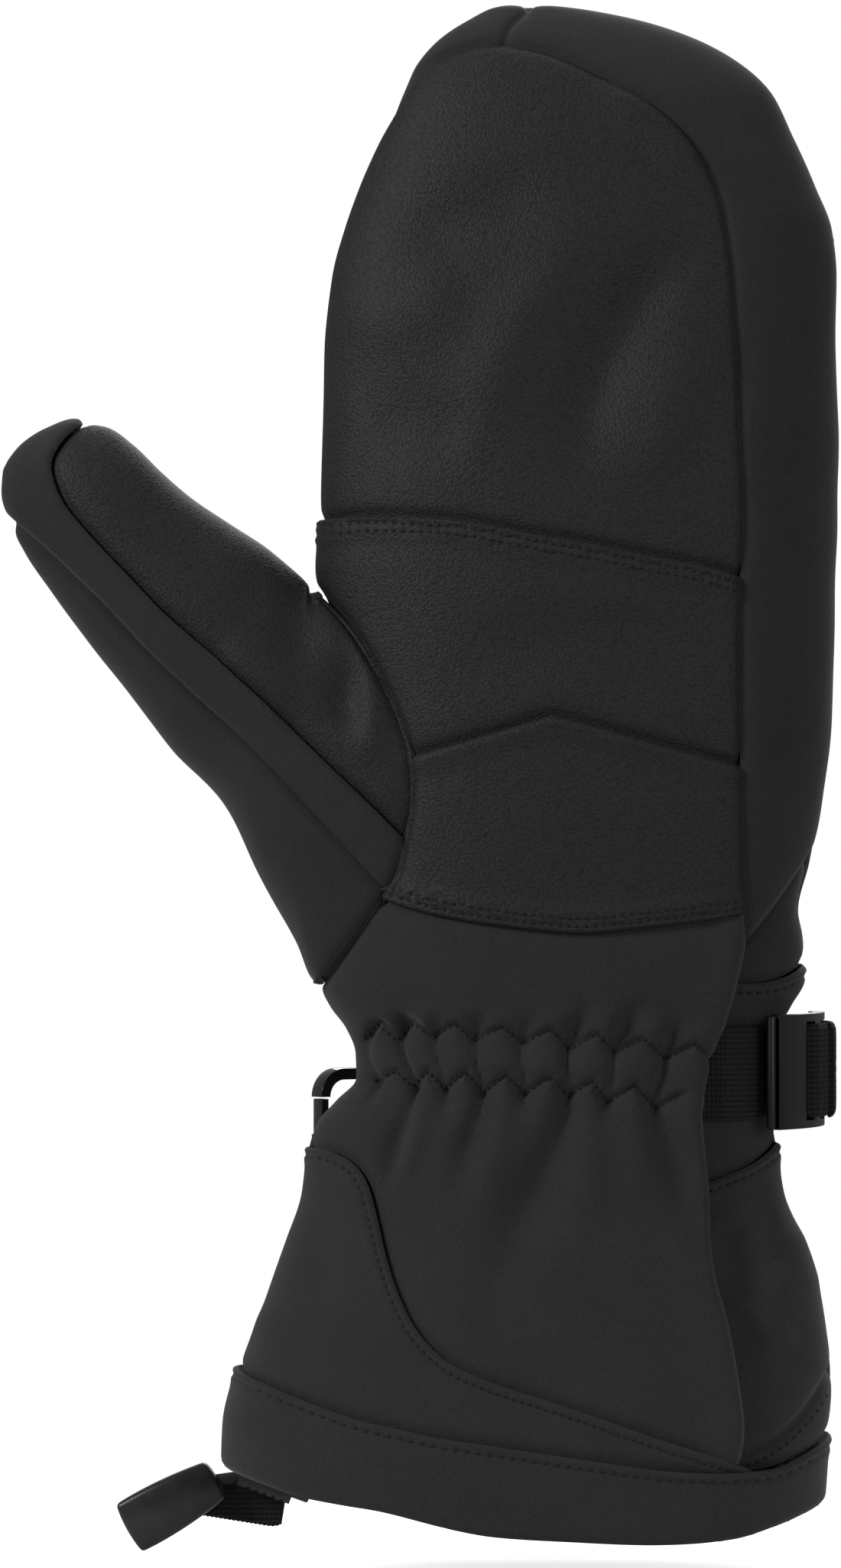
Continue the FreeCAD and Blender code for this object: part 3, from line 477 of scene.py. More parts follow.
SHIR_MIDDLE, SHIR_HALF = 94.5, 5.5      # height of the middle of the shirring, and half its band


def valley(xz, points, depth):
    """A crease that is sharpest at the shirring and opens out and fades towards both ends."""
    line = smooth_line(points, 1.2)
    near = np.abs(xz[:, 0] - line[:, 0].mean()) < 34
    best = np.full(len(xz), 1e9)
    place = np.zeros(len(xz))
    some = xz[near]
    close, where = np.full(len(some), 1e9), np.zeros(len(some))
    for index, (a, b) in enumerate(zip(line[:-1], line[1:])):
        along = b - a
        rel = some - a
        t = np.clip((rel @ along) / (along @ along), 0, 1)
        gap = rel - t[:, None] * along
        d = np.einsum("ij,ij->i", gap, gap)
        where = np.where(d < close, index + t, where)
        close = np.minimum(d, close)
    best[near], place[near] = np.sqrt(close), where
    z_at = np.interp(place, np.arange(len(line)), line[:, 1])
    outside = np.maximum(np.abs(z_at - SHIR_MIDDLE) - SHIR_HALF, 0)
    reach = np.where(z_at > SHIR_MIDDLE, line[0, 1] - SHIR_MIDDLE, SHIR_MIDDLE - line[-1, 1]) - SHIR_HALF
    fade = np.clip(1 - outside / np.maximum(reach, 1e-3), 0, 1)
    fade = fade * fade * (3 - 2 * fade)
    sharp = np.exp(-(best / (0.85 + 0.16 * outside)) ** 2)
    broad = np.exp(-(best / (2.3 + 0.2 * outside)) ** 2)
    return -depth * fade * (0.5 * sharp + 0.5 * broad)


def strokes(xz, folds, ends):
    """The sum of several soft folds, each a line, a width and a height."""
    out = np.zeros(len(xz))
    for points, width, height in folds:
        out += stroke(xz, points, width, height, ends)
    return out


def wrist_relief(xz):
    """The shirred wrist: creases, ridges, a groove under each stitch row and a swell between the rows."""
    out = np.zeros(len(xz))
    for points, depth in VALLEYS:
        out += valley(xz, points, depth)
    out += strokes(xz, RIDGES, 0.5)
    for seam in ("cuff", "heel"):
        out *= 1 - hill(signed_distance(xz, L[seam]), 4.0)
    for row in (SHIR_UPPER, SHIR_LOWER):
        d = np.abs(signed_distance(xz, walk(np.array(row, float), 0.7)))
        out += -1.1 * hill(d, 0.8) - 0.5 * hill(d, 2.2)
    between = hill(xz[:, 1] - SHIR_MIDDLE, 3.6) * hill(xz[:, 0] - 2, 34)
    return out + 1.3 * between


def soft_noise(points, scale, seed):
    """Slow random swell made of a few sine waves."""
    rng = np.random.default_rng(seed)
    out = np.zeros(len(points))
    for _ in range(7):
        way = rng.normal(size=3)
        way /= np.linalg.norm(way)
        out += np.sin(points @ way * (2 * math.pi / (scale * rng.uniform(0.7, 1.5))) + rng.uniform(0, 6.3))
    return out / 7


# ======================================= meshes ==================================================
def new_piece(name, verts, tris, thickness=0.0, sharp=50):
    """A mesh object from millimetre points. A wall grows inwards when a thickness is given."""
    mesh = bpy.data.meshes.new(name)
    mesh.vertices.add(len(verts))
    mesh.vertices.foreach_set("co", (np.asarray(verts)[:, :3] * MM).ravel())
    mesh.loops.add(len(tris) * 3)
    mesh.loops.foreach_set("vertex_index", np.asarray(tris, np.int32).ravel())
    mesh.polygons.add(len(tris))
    mesh.polygons.foreach_set("loop_start", np.arange(0, len(tris) * 3, 3, dtype=np.int32))
    mesh.polygons.foreach_set("loop_total", np.full(len(tris), 3, dtype=np.int32))
    mesh.update(calc_edges=True)
    mesh.validate()
    obj = bpy.data.objects.new(name, mesh)
    bpy.context.scene.collection.objects.link(obj)
    if thickness:
        wall = obj.modifiers.new("wall", "SOLIDIFY")
        wall.thickness = thickness * MM
        wall.offset = -1
        wall.use_even_offset = False
        apply_modifiers(obj)
    for polygon in obj.data.polygons:
        polygon.use_smooth = True
    obj.data.set_sharp_from_angle(angle=math.radians(sharp))
    return obj


def apply_modifiers(obj):
    bpy.ops.object.select_all(action="DESELECT")
    obj.select_set(True)
    bpy.context.view_layer.objects.active = obj
    for modifier in list(obj.modifiers):
        bpy.ops.object.modifier_apply(modifier=modifier.name)
    obj.select_set(False)


LINE_STEP = 1.2
L = {key: smooth_line(points, LINE_STEP) for key, points in dict(
    opening=OPENING, hem=HEM, cuff=CUFF_CURVE, fold=FOLD, gusset=GUSSET_LOW, wrist_gusset=WRIST_GUSSET_LOW,
    pinky_wrist=PINKY_WRIST_LOW, small=SMALL_SEAM, heel=HEEL, chevron=CHEVRON, upper=UPPER, palm=PALM_EDGE,
    tip=TIP, back_tip=BACK_TIP, knuckle=BACK_KNUCKLE, back_wrist=BACK_WRIST, patch=PATCH,
    strip_top=THUMB_STRIP_TOP, strip_low=THUMB_STRIP_LOW).items()}
thumb_loop_line = smooth_line(THUMB_SEAM_PALM, LINE_STEP)
back_loop_line = smooth_line(THUMB_SEAM_BACK, LINE_STEP)


# ======================================= shading =================================================
def linear(hex_colour):
    """sRGB hex to the linear colour that the shader takes."""
    out = []
    for start in (1, 3, 5):
        value = int(hex_colour[start:start + 2], 16) / 255
        out.append(value / 12.92 if value <= 0.04045 else ((value + 0.055) / 1.055) ** 2.4)
    return (*out, 1.0)


def node(tree, kind, settings=None, links=None):
    """Adds one node, sets its named values and joins the named inputs to other sockets."""
    made = tree.nodes.new(kind)
    for key, value in (settings or {}).items():
        if isinstance(key, int) or key in made.inputs:
            made.inputs[key].default_value = value
        else:
            setattr(made, key, value)
    for key, socket in (links or {}).items():
        tree.links.new(socket, made.inputs[key])
    return made


def blank_material(name):
    material = bpy.data.materials.new(name)
    material.use_nodes = True
    tree = material.node_tree
    tree.nodes.clear()
    output = node(tree, "ShaderNodeOutputMaterial")
    shader = node(tree, "ShaderNodeBsdfPrincipled")
    tree.links.new(shader.outputs["BSDF"], output.inputs["Surface"])
    return material, tree, shader


def ramp(tree, factor, low, high, start, stop):
    made = node(tree, "ShaderNodeValToRGB", links={"Fac": factor})
    made.color_ramp.elements[0].position = start
    made.color_ramp.elements[0].color = linear(low)
    made.color_ramp.elements[1].position = stop
    made.color_ramp.elements[1].color = linear(high)
    return made


PER_MM = 1000.0             # a pattern of one repeat per millimetre on metre coordinates


def noise(tree, where, size_mm, **settings):
    made = node(tree, "ShaderNodeTexNoise", {"Scale": PER_MM / size_mm, **settings}, {"Vector": where})
    return made.outputs["Fac"]


def roughen(tree, shader, height, strength, depth_mm):
    bump = node(tree, "ShaderNodeBump", {"Strength": strength, "Distance": depth_mm * MM}, {"Height": height})
    tree.links.new(bump.outputs["Normal"], shader.inputs["Normal"])


def gloss_between(tree, shader, factor, low, high):
    gloss = node(tree, "ShaderNodeMapRange", {"To Min": low, "To Max": high}, {"Value": factor})
    tree.links.new(gloss.outputs[0], shader.inputs["Roughness"])


def tint(tree, shader, factor, dark, light, start=0.35, stop=0.65):
    colour = ramp(tree, factor, dark, light, start, stop)
    tree.links.new(colour.outputs["Color"], shader.inputs["Base Color"])


def woven_softshell(name, dark, light, thread=0.42, sheen=0.12):
    """Polyester softshell with a brushed stretch face: matt, with a fine mottled weave."""
    material, tree, shader = blank_material(name)
    where = node(tree, "ShaderNodeTexCoord").outputs["Object"]
    # thread spacing is about 0.2 mm on the cloth; drawn twice as coarse so that it shows
    fine = noise(tree, where, thread, Detail=2.0, Roughness=0.6)
    cloud = noise(tree, where, 14, Detail=3.0)
    mixed = node(tree, "ShaderNodeMath", {"operation": "MULTIPLY_ADD", 1: 0.28}, {0: cloud})
    tree.links.new(fine, mixed.inputs[2])
    tint(tree, shader, mixed.outputs[0], dark, light, 0.42, 0.86)
    roughen(tree, shader, fine, 0.35, 0.12)
    shader.inputs["Roughness"].default_value = 0.86
    shader.inputs["IOR"].default_value = 1.45
    shader.inputs["Specular IOR Level"].default_value = 0.3
    shader.inputs["Sheen Weight"].default_value = sheen
    shader.inputs["Sheen Roughness"].default_value = 0.5
    return material


def grained_leather(name, dark, light, grain, rough):
    """Polyurethane-coated synthetic leather: pebbled grain with a low satin sheen."""
    material, tree, shader = blank_material(name)
    where = node(tree, "ShaderNodeTexCoord").outputs["Object"]
    # pebbles of under 1 mm, bent out of their grid, with finer creases between them
    warp = node(tree, "ShaderNodeTexNoise", {"Scale": PER_MM / 3.0, "Detail": 2.0}, {"Vector": where})
    shift = node(tree, "ShaderNodeVectorMath", {"operation": "SCALE", "Scale": 0.0009},
                 {0: warp.outputs["Color"]})
    bent = node(tree, "ShaderNodeVectorMath", {"operation": "ADD"}, {0: where, 1: shift.outputs[0]})
    cells = node(tree, "ShaderNodeTexVoronoi",
                 {"Scale": PER_MM / grain, "feature": "SMOOTH_F1", "Smoothness": 0.35},
                 {"Vector": bent.outputs[0]}).outputs["Distance"]
    fine = noise(tree, where, 0.35, Detail=2.0)
    height = node(tree, "ShaderNodeMath", {"operation": "MULTIPLY_ADD", 1: -1.0}, {0: cells})
    lift = node(tree, "ShaderNodeMath", {"operation": "MULTIPLY", 1: 0.25}, {0: fine})
    tree.links.new(lift.outputs[0], height.inputs[2])
    # painted shade: the creases between the pebbles are coloured darker and the pebble tops lighter
    tint(tree, shader, cells, light, dark, 0.1, 0.8)
    roughen(tree, shader, height.outputs[0], 0.7, 0.22)
    gloss_between(tree, shader, cells, rough - 0.06, rough + 0.1)
    shader.inputs["IOR"].default_value = 1.5
    shader.inputs["Specular IOR Level"].default_value = 0.4
    return material


def ribbed_webbing(name, dark, light, along=1.1):
    """Polypropylene tape. The weave itself is modelled; this mottles the yarn and adds dashes."""
    material, tree, shader = blank_material(name)
    where = node(tree, "ShaderNodeTexCoord").outputs["Object"]
    parts = node(tree, "ShaderNodeSeparateXYZ", links={"Vector": where})
    fuzz = noise(tree, where, 0.5, Detail=3.0)
    row = node(tree, "ShaderNodeMath", {"operation": "MULTIPLY", 1: 2 * math.pi * PER_MM / along},
               {0: parts.outputs["Z"]})
    dash = node(tree, "ShaderNodeMath", {"operation": "SINE"}, {0: row.outputs[0]})
    height = node(tree, "ShaderNodeMath", {"operation": "MULTIPLY_ADD", 1: 0.25}, {0: dash.outputs[0]})
    tree.links.new(fuzz, height.inputs[2])
    tint(tree, shader, height.outputs[0], dark, light, 0.2, 0.85)
    roughen(tree, shader, fuzz, 0.5, 0.1)
    shader.inputs["Roughness"].default_value = 0.85
    shader.inputs["Specular IOR Level"].default_value = 0.3
    return material


def moulded(name, dark, light, rough, grain_mm, bump_strength, coat=0.0):
    """Moulded plastic or rubber, with a fine mould texture and slight tone changes."""
    material, tree, shader = blank_material(name)
    where = node(tree, "ShaderNodeTexCoord").outputs["Object"]
    cloud = noise(tree, where, 6, Detail=2.0)
    tint(tree, shader, cloud, dark, light)
    gloss_between(tree, shader, cloud, rough - 0.05, rough + 0.08)
    roughen(tree, shader, noise(tree, where, grain_mm, Detail=3.0), bump_strength, 0.08)
    shader.inputs["IOR"].default_value = 1.5
    shader.inputs["Coat Weight"].default_value = coat
    return material


def fluffy(name, dark, light, pile=1.2):
    """Brushed pile or wadding: very matt, tufted."""
    material, tree, shader = blank_material(name)
    where = node(tree, "ShaderNodeTexCoord").outputs["Object"]
    tufts = noise(tree, where, pile, Detail=4.0, Roughness=0.7)
    tint(tree, shader, tufts, dark, light, 0.3, 0.7)
    roughen(tree, shader, tufts, 0.9, 0.6)
    shader.inputs["Roughness"].default_value = 0.95
    shader.inputs["Sheen Weight"].default_value = 0.3
    return material


# charcoal softshell: flat dark grey, faintly mottled
SOFTSHELL = woven_softshell("polyester_softshell_charcoal", "#262626", "#333333")
# the same cloth where it is doubled at the hem, one step darker as painted shade
HEM_SOFTSHELL_SHADED = woven_softshell("polyester_softshell_hem_shaded", "#252525", "#323232")
# palm leather: coated, pebbled, catches broad soft highlights
LEATHER = grained_leather("polyurethane_leather_pebbled", "#171717", "#262627", 0.58, 0.62)
# knitted stretch panel on the index edge: coarse and a little brown
PATCH_KNIT = woven_softshell("nylon_stretch_knit", "#26221f", "#3b3531", thread=0.9)
# tape: near black with paler dots of weft
WEBBING = ribbed_webbing("polypropylene_webbing_black", "#070707", "#252423")
TAIL_WEBBING = ribbed_webbing("polypropylene_webbing_worn", "#0c0b0a", "#2a2725")
# acetal buckle: satin moulded, broad dim highlights
BUCKLE = moulded("acetal_moulded_satin", "#050505", "#090909", 0.36, 0.25, 0.2)
# clip: polished acetal, sharp highlights
CLIP = moulded("acetal_moulded_polished", "#141414", "#1b1b1b", 0.1, 0.5, 0.05, coat=1.0)
# cord lock: black glass-filled nylon
LOCK = moulded("nylon_glass_filled_black", "#030303", "#060606", 0.5, 0.2, 0.3)
# grip on the cord: thermoplastic rubber with a soft gloss
GRIP = moulded("thermoplastic_rubber_grey", "#1d1c1d", "#262527", 0.3, 0.3, 0.2)
# sewing thread: bonded polyester, dark with a slight shine
THREAD = moulded("bonded_polyester_thread", "#050505", "#0b0b0b", 0.7, 0.15, 0.4)
# lining, wadding and membrane inside
FLEECE = fluffy("polyester_fleece_black", "#0b0b0b", "#1d1d1e")
WADDING = fluffy("polyester_wadding_charcoal", "#151515", "#262626", 2.4)
MEMBRANE = moulded("polyurethane_film_grey", "#3c3d3f", "#4a4b4d", 0.4, 1.0, 0.3)
STEEL = moulded("spring_steel_wire", "#6f6f6f", "#8a8a8a", 0.3, 0.2, 0.1)
ELASTIC = ribbed_webbing("polyester_elastic_black", "#101010", "#222222")


def dress(obj, material):
    obj.data.materials.clear()
    obj.data.materials.append(material)


def settle(obj, material, body, slot_name, *replaced):
    """Finish, body and the plain solids that a new piece stands for; the slot name is not used."""
    dress(obj, material)
    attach(obj, body)
    if replaced:
        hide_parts(*replaced)


# ======================================= hand panels =============================================
FRONT_EDGE = 1.0            # y where palm-side and back panels meet along the little-finger edge
INDEX_WRAP = 8.0            # the leather reaches this much further round the index edge


TUCK_SLOPE, TUCK_START, TUCK_LENGTH = 1.5, 0.3, 2   # cloth turned in under the thumb seam


def sigmoid(value):
    return 1 / (1 + np.exp(-np.clip(value, -30, 30)))


def side_seam_y(verts):
    x, z = verts[:, 0], verts[:, 2]
    return FRONT_EDGE + INDEX_WRAP * sigmoid((-8 - x) / 4) * sigmoid((z - 203) / 4) * sigmoid((298 - z) / 4)


def faded_wrist_relief(verts):
    toward_side = np.clip((-verts[:, 1] - 2) / 8, 0, 1)
    return wrist_relief(verts[:, [0, 2]]) * toward_side


def faded_palm_relief(verts):
    return strokes(verts[:, [0, 2]], PALM_FOLDS, 0.35) * np.clip((-verts[:, 1]) / 8, 0, 1)


GAUNTLET_FOLDS = [
    ([(-58, 44), (-52, 30)], 5, 0.8), ([(-44, 70), (-42, 56), (-48, 40)], 4, -0.8),
    ([(52, 72), (50, 56), (56, 40)], 5, 0.9), ([(46, 66), (45, 50), (50, 30)], 4, -1.2),
    ([(58, 62), (60, 44)], 4, 0.6), ([(40, 48.5), (44.4, 45.4), (49.6, 41.4), (56.4, 35)], 2.2, 1.5),
    ([(42, 64), (46, 56), (53, 48)], 5.5, -1.6)]
BACK_FOLDS = [
    ([(-30, 92), (-26, 78), (-34, 60)], 3, -1.4), ([(-16, 92), (-14, 74), (-20, 54)], 3.4, -1.6),
    ([(0, 91), (0, 72), (2, 52)], 3.6, -1.5), ([(16, 91), (18, 74), (24, 56)], 3.2, -1.4),
    ([(30, 92), (34, 76), (42, 60)], 3, -1.2), ([(-24, 98), (-28, 112)], 2.4, -0.8),
    ([(-6, 98), (-8, 114)], 2.6, -0.9), ([(10, 98), (12, 114)], 2.6, -0.9),
    ([(26, 98), (30, 112)], 2.4, -0.8), ([(-8, 90), (-6, 70)], 4, 0.8), ([(8, 90), (10, 72)], 4, 0.8),
    ([(-36, 250), (0, 244), (40, 252)], 8, 0.8), ([(-30, 226), (10, 230), (50, 222)], 9, -0.8),
    ([(-20, 150), (10, 158), (44, 150)], 10, 0.9), ([(-20, 130), (10, 136), (44, 130)], 6, -0.7)]


def back_relief(verts):
    xz = verts[:, [0, 2]]
    gather = hill(xz[:, 1] - 95, 3.2)
    return (strokes(xz, BACK_FOLDS, 0.3) - gather) * np.clip((verts[:, 1] - 2) / 8, 0, 1)


def gauntlet_relief(verts):
    return strokes(verts[:, [0, 2]], GAUNTLET_FOLDS, 0.3) * np.clip((-verts[:, 1] - 1) / 6, 0, 1)


SEAM_ROWS = (0.45, 1.0, 1.9)
panels = {}


def sew(name, mesh, seams, relief, thickness, side_seam):
    """Cuts fine rows beside the seams, raises the relief and keeps the panel's outer surface for stitches."""
    for line, kind in seams:
        if kind != "recess":
            mesh = add_rows(mesh, line, SEAM_ROWS)
    verts, tris = mesh
    xz = verts[:, [0, 2]]
    height = 0.4 * soft_noise(verts[:, :3], 52, 3) + 0.14 * soft_noise(verts[:, :3], 17, 8)
    for line, kind in seams:
        distance = signed_distance(xz, line)
        height += edge_relief(kind, np.maximum(-distance, 0) if kind == "recess" else np.abs(distance))
        if kind == "tuck":
            height -= TUCK_SLOPE * np.clip(distance - TUCK_START, 0, TUCK_LENGTH)
    if side_seam:
        height += 0.8 * edge_relief("butt", np.abs(verts[:, 1] - side_seam_y(verts)))
    if relief is not None:
        height += relief(verts)
    moved = verts[:, :3] + verts[:, 3:6] * height[:, None]
    tree = BVHTree.FromPolygons([tuple(p) for p in moved], [tuple(int(i) for i in t) for t in tris])
    obj = new_piece(name, moved, tris, thickness)
    panels[name.removesuffix("_cloth")] = tree
    return obj


LOOP_ALLOWANCE = 2.2        # how far the hand's panels go on past the thumb seam
FOLD_LAP = 4.5              # how far the side panels run on under the front fold

whole = hand_surface(HAND_AROUND, HAND_ALONG, wrist_detail=1.8, palm_detail=0.3)
_, body_mesh = split(whole, L["opening"])
hem_mesh, body_mesh = split(body_mesh, L["hem"])
front_mesh, back_mesh = cut(*body_mesh, side_seam_y(body_mesh[0]) - body_mesh[0][:, 1])
_, front_mesh = split(front_mesh, beside(thumb_loop_line, LOOP_ALLOWANCE))
_, back_mesh = split(back_mesh, beside(back_loop_line, LOOP_ALLOWANCE))

cuff_mesh, front_mesh = split(front_mesh, L["cuff"])
palm_mesh, front_mesh = split(front_mesh, L["palm"], L["heel"][::-1])
lower_mesh, upper_mesh = split(palm_mesh, L["upper"])
heel_mesh, middle_mesh = split(lower_mesh, L["chevron"])
# the panels on the little-finger side run on under the rolled edge of the front panel
side_mesh, _ = split(front_mesh, beside(L["fold"], FOLD_LAP)[::-1], L["gusset"][::-1])
_, front_mesh = split(front_mesh, L["fold"][::-1], L["gusset"][::-1])
side_low_mesh, wrist_gusset_mesh = split(side_mesh, L["wrist_gusset"])
pinky_gauntlet_mesh, pinky_wrist_mesh = split(side_low_mesh, L["pinky_wrist"])
wrist_mesh, front_mesh = split(front_mesh, L["heel"], L["fold"])
tip_mesh, side_gusset_mesh = split(front_mesh, L["tip"])
patch_mesh, back_mesh = split(back_mesh, L["patch"])
back_lower_mesh, back_tip_mesh = split(back_mesh, L["back_tip"])
gauntlet_back_mesh, back_shell_mesh = split(back_lower_mesh, L["back_wrist"])

L.update(thumb_front=thumb_loop_line, thumb_back=back_loop_line)
# panel, mesh, its seams and how each is sewn, folds, thickness, whether the side seam shows on it, cloth
HAND_PIECES = (
    ("hem_band", hem_mesh, "opening rim, hem stitched", None, 2.6, False, HEM_SOFTSHELL_SHADED),
    ("gauntlet_thumb_side", cuff_mesh, "cuff stitched, hem under", gauntlet_relief, 1.6, True, SOFTSHELL),
    ("palm_upper", upper_mesh, "palm butt, upper under", faded_palm_relief, 1.3, True, LEATHER),
    ("palm_middle", middle_mesh, "palm butt, upper band, chevron under, thumb_front tuck",
     faded_palm_relief, 1.5, False, LEATHER),
    ("palm_heel", heel_mesh, "palm butt, chevron over, heel band, thumb_front tuck",
     faded_palm_relief, 1.5, False, LEATHER),
    ("wrist_gusset", wrist_gusset_mesh, "gusset butt, wrist_gusset under, fold recess",
     None, 1.3, True, SOFTSHELL),
    ("little_finger_wrist", pinky_wrist_mesh, "wrist_gusset stitched, pinky_wrist under, fold recess",
     None, 1.3, True, SOFTSHELL),
    ("little_finger_gauntlet", pinky_gauntlet_mesh,
     "pinky_wrist stitched, hem under, small butt, fold recess", gauntlet_relief, 1.3, True, SOFTSHELL),
    ("wrist_front", wrist_mesh, "heel under, fold fold, cuff under, hem under, thumb_front tuck",
     faded_wrist_relief, 1.8, True, SOFTSHELL),
    ("tip_gusset", tip_mesh, "palm butt, tip butt", None, 1.3, True, SOFTSHELL),
    ("side_gusset", side_gusset_mesh, "palm butt, gusset butt, tip butt", None, 1.3, True, SOFTSHELL),
    ("index_edge_patch", patch_mesh, "patch butt", None, 1.3, True, PATCH_KNIT),
    ("back_tip_leather", back_tip_mesh, "back_tip stitched", back_relief, 1.3, True, LEATHER),
    ("back_shell", back_shell_mesh,
     "back_tip under, patch under, back_wrist under, knuckle butt, thumb_back tuck",
     back_relief, 1.3, True, SOFTSHELL),
    ("gauntlet_back", gauntlet_back_mesh, "back_wrist stitched, hem under, thumb_back tuck",
     back_relief, 1.5, True, SOFTSHELL))
SLOTS = {LEATHER: "synthetic_leather", PATCH_KNIT: "edge_patch", HEM_SOFTSHELL_SHADED: "hem_softshell",
         SOFTSHELL: "softshell"}
for piece_name, mesh, seam_text, relief, thickness, side_seam, material in HAND_PIECES:
    seams = [(L[seam], kind) for seam, kind in (words.split() for words in seam_text.split(", "))]
    made = sew(piece_name + "_cloth", mesh, seams, relief, thickness, side_seam)
    settle(made, material, "mitten", SLOTS[material], piece_name)


# ======================================= thumb ===================================================
LOOP_TOP, LOOP_FOOT = (-44.7, 0, 193.8), (-44.1, 0, 110.2)      # where its two halves meet


def half_loop(line, side):
    """One half of the thumb's ring, laid on the plain hand form."""
    x, z = line[:, 0], line[:, 1]
    return walk(np.vstack([LOOP_TOP, np.column_stack([x, hand_depth(x, z, side), z]), LOOP_FOOT]), 0.5)


def seam_loop(around):
    """The ring where the thumb is set into the hand: round the palm side, then round the back."""
    front, back = half_loop(thumb_loop_line, -1), half_loop(back_loop_line, 1)
    angle = np.arange(around) / around * 2 * math.pi
    share = (1 - power(np.cos(angle), THUMB_POWER)) / 2
    out = np.zeros((around, 3))
    for line, chosen in ((front, np.sin(angle) < 0), (back, np.sin(angle) >= 0)):
        at = np.linspace(0, 1, len(line))
        for k in range(3):
            out[chosen, k] = np.interp(share[chosen], at, line[:, k])
    return out


SEAM_ALLOWANCE = 6.0
ALLOWANCE_TO = (-6, 0, 152)


def thumb_surface(around, along, inset=0.0):
    """Points and normals (six columns) and triangles of the thumb, from its seam to its tip."""
    angle = np.arange(around) / around * 2 * math.pi
    c, s = power(np.cos(angle), THUMB_POWER), power(np.sin(angle), THUMB_POWER)
    rings = [seam_loop(around)]
    if inset:
        middle = rings[0].mean(axis=0)
        rings[0] = middle + (rings[0] - middle) * (1 - inset / 34)
    # the seam allowance turns in under the hand's panels
    allowance = np.array(ALLOWANCE_TO) - rings[0]
    rings.insert(0, rings[0] + allowance / np.linalg.norm(allowance, axis=1)[:, None] * SEAM_ALLOWANCE)
    for xu, zu, xl, zl, half in THUMB:
        centre = np.array([(xu + xl) / 2, THUMB_MID_Y, (zu + zl) / 2])
        major = np.array([(xu - xl) / 2, 0, (zu - zl) / 2])
        size = np.linalg.norm(major)
        left = max(size - inset, 0) / size if size > 0 else 0
        deep = max(half - inset, 0)
        if inset and (left == 0 or deep == 0):
            break
        rings.append(centre + major * left * c[:, None] + np.array([0, deep, 0]) * s[:, None])
    if inset:
        last = rings[-1]
        rings.append(np.repeat(last.mean(axis=0)[None, :] + [[-1.5, 0, 0.5]], around, 0))
    rings = np.array(rings)
    step = np.linalg.norm(np.diff(rings, axis=0), axis=2).mean(axis=1)
    keys = np.concatenate([[0], np.cumsum(step)])
    at = np.linspace(0, keys[-1], along)
    grid = even_spline(keys, rings.reshape(len(rings), -1), at).reshape(along, around, 3)
    points = np.vstack([grid[:-1].reshape(-1, 3), grid[-1].mean(axis=0)[None, :]])
    tris = grid_triangles(along, around)
    return np.hstack([points, vertex_normals(points, tris)]), tris


THUMB_BACK_EDGE = 4.0
THUMB_FOLDS = [
    ([(-40, 180), (-52, 186), (-64, 196)], 6, -0.8), ([(-46, 170), (-56, 174), (-66, 182)], 7, 0.8),
    ([(-33, 187), (-36, 177), (-41, 163)], 4.2, -2.6), ([(-31, 178), (-31.5, 167), (-34, 156)], 3.2, 1.3)]


def thumb_relief(verts):
    return strokes(verts[:, [0, 2]], THUMB_FOLDS, 0.3) * np.clip((-verts[:, 1] - 2) / 8, 0, 1)


def loop_gap(verts):
    """Distance of each point to the ring where the thumb is set in."""
    ring = seam_loop(160)
    closed = np.vstack([ring, ring[:1]])
    best = np.full(len(verts), 1e9)
    for a, b in zip(closed[:-1], closed[1:]):
        along = b - a
        rel = verts[:, :3] - a
        t = np.clip((rel @ along) / max(along @ along, 1e-9), 0, 1)
        gap = rel - t[:, None] * along
        best = np.minimum(best, np.einsum("ij,ij->i", gap, gap))
    return np.sqrt(best)


STRIP_LAP = 2.6             # how far the leather runs on under the side strip
thumb_mesh = thumb_surface(THUMB_AROUND, THUMB_ALONG)
thumb_front, thumb_rear = cut(*thumb_mesh, THUMB_BACK_EDGE - thumb_mesh[0][:, 1])
strip_and_low, _ = split(thumb_front, L["strip_top"])
_, thumb_leather_mesh = split(thumb_front, beside(L["strip_top"], STRIP_LAP))
thumb_low_mesh, thumb_strip_mesh = split(strip_and_low, L["strip_low"])
offset = len(thumb_rear[0])
thumb_back_mesh = (np.vstack([thumb_rear[0], thumb_low_mesh[0]]),
                   np.vstack([thumb_rear[1], thumb_low_mesh[1] + offset]))


def weld(mesh):
    """Joins points at one place, where two cut parts meet again."""
    verts, tris = mesh
    keys = np.round(verts[:, :3], 3)
    _, first, inverse = np.unique(keys, axis=0, return_index=True, return_inverse=True)
    inverse = inverse.reshape(-1)
    tris = inverse[tris]
    good = (tris[:, 0] != tris[:, 1]) & (tris[:, 1] != tris[:, 2]) & (tris[:, 0] != tris[:, 2])
    return verts[first], tris[good]


thumb_back_mesh = weld(thumb_back_mesh)


def sew_thumb(name, mesh, lines, back_seam, material, *replaced):
    verts, tris = mesh
    xz = verts[:, [0, 2]]
    height = 0.35 * soft_noise(verts[:, :3], 40, 21) + 0.12 * soft_noise(verts[:, :3], 15, 22)
    for line, kind in lines:
        distance = signed_distance(xz, line)
        height += np.where(verts[:, 1] < THUMB_BACK_EDGE + 2, edge_relief(kind, np.abs(distance)), 0)
        if kind == "under":
            height -= 1.5 * np.clip(distance, 0, 1)
    if back_seam:
        seam = 0.9 * edge_relief("butt", np.abs(verts[:, 1] - THUMB_BACK_EDGE))
        height += np.where(signed_distance(xz, L["strip_low"]) < 6, seam, 0)
    seam_gap = loop_gap(verts)
    height += edge_relief("butt", seam_gap) + thumb_relief(verts) * np.clip((seam_gap - 1.5) / 5, 0, 1)
    moved = verts[:, :3] + verts[:, 3:6] * height[:, None]
    panels[name] = BVHTree.FromPolygons([tuple(p) for p in moved], [tuple(int(i) for i in t) for t in tris])
    obj = new_piece(name + "_cloth", moved, tris, 1.3)
    dress(obj, material)
    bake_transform(obj)
    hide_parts(*replaced)


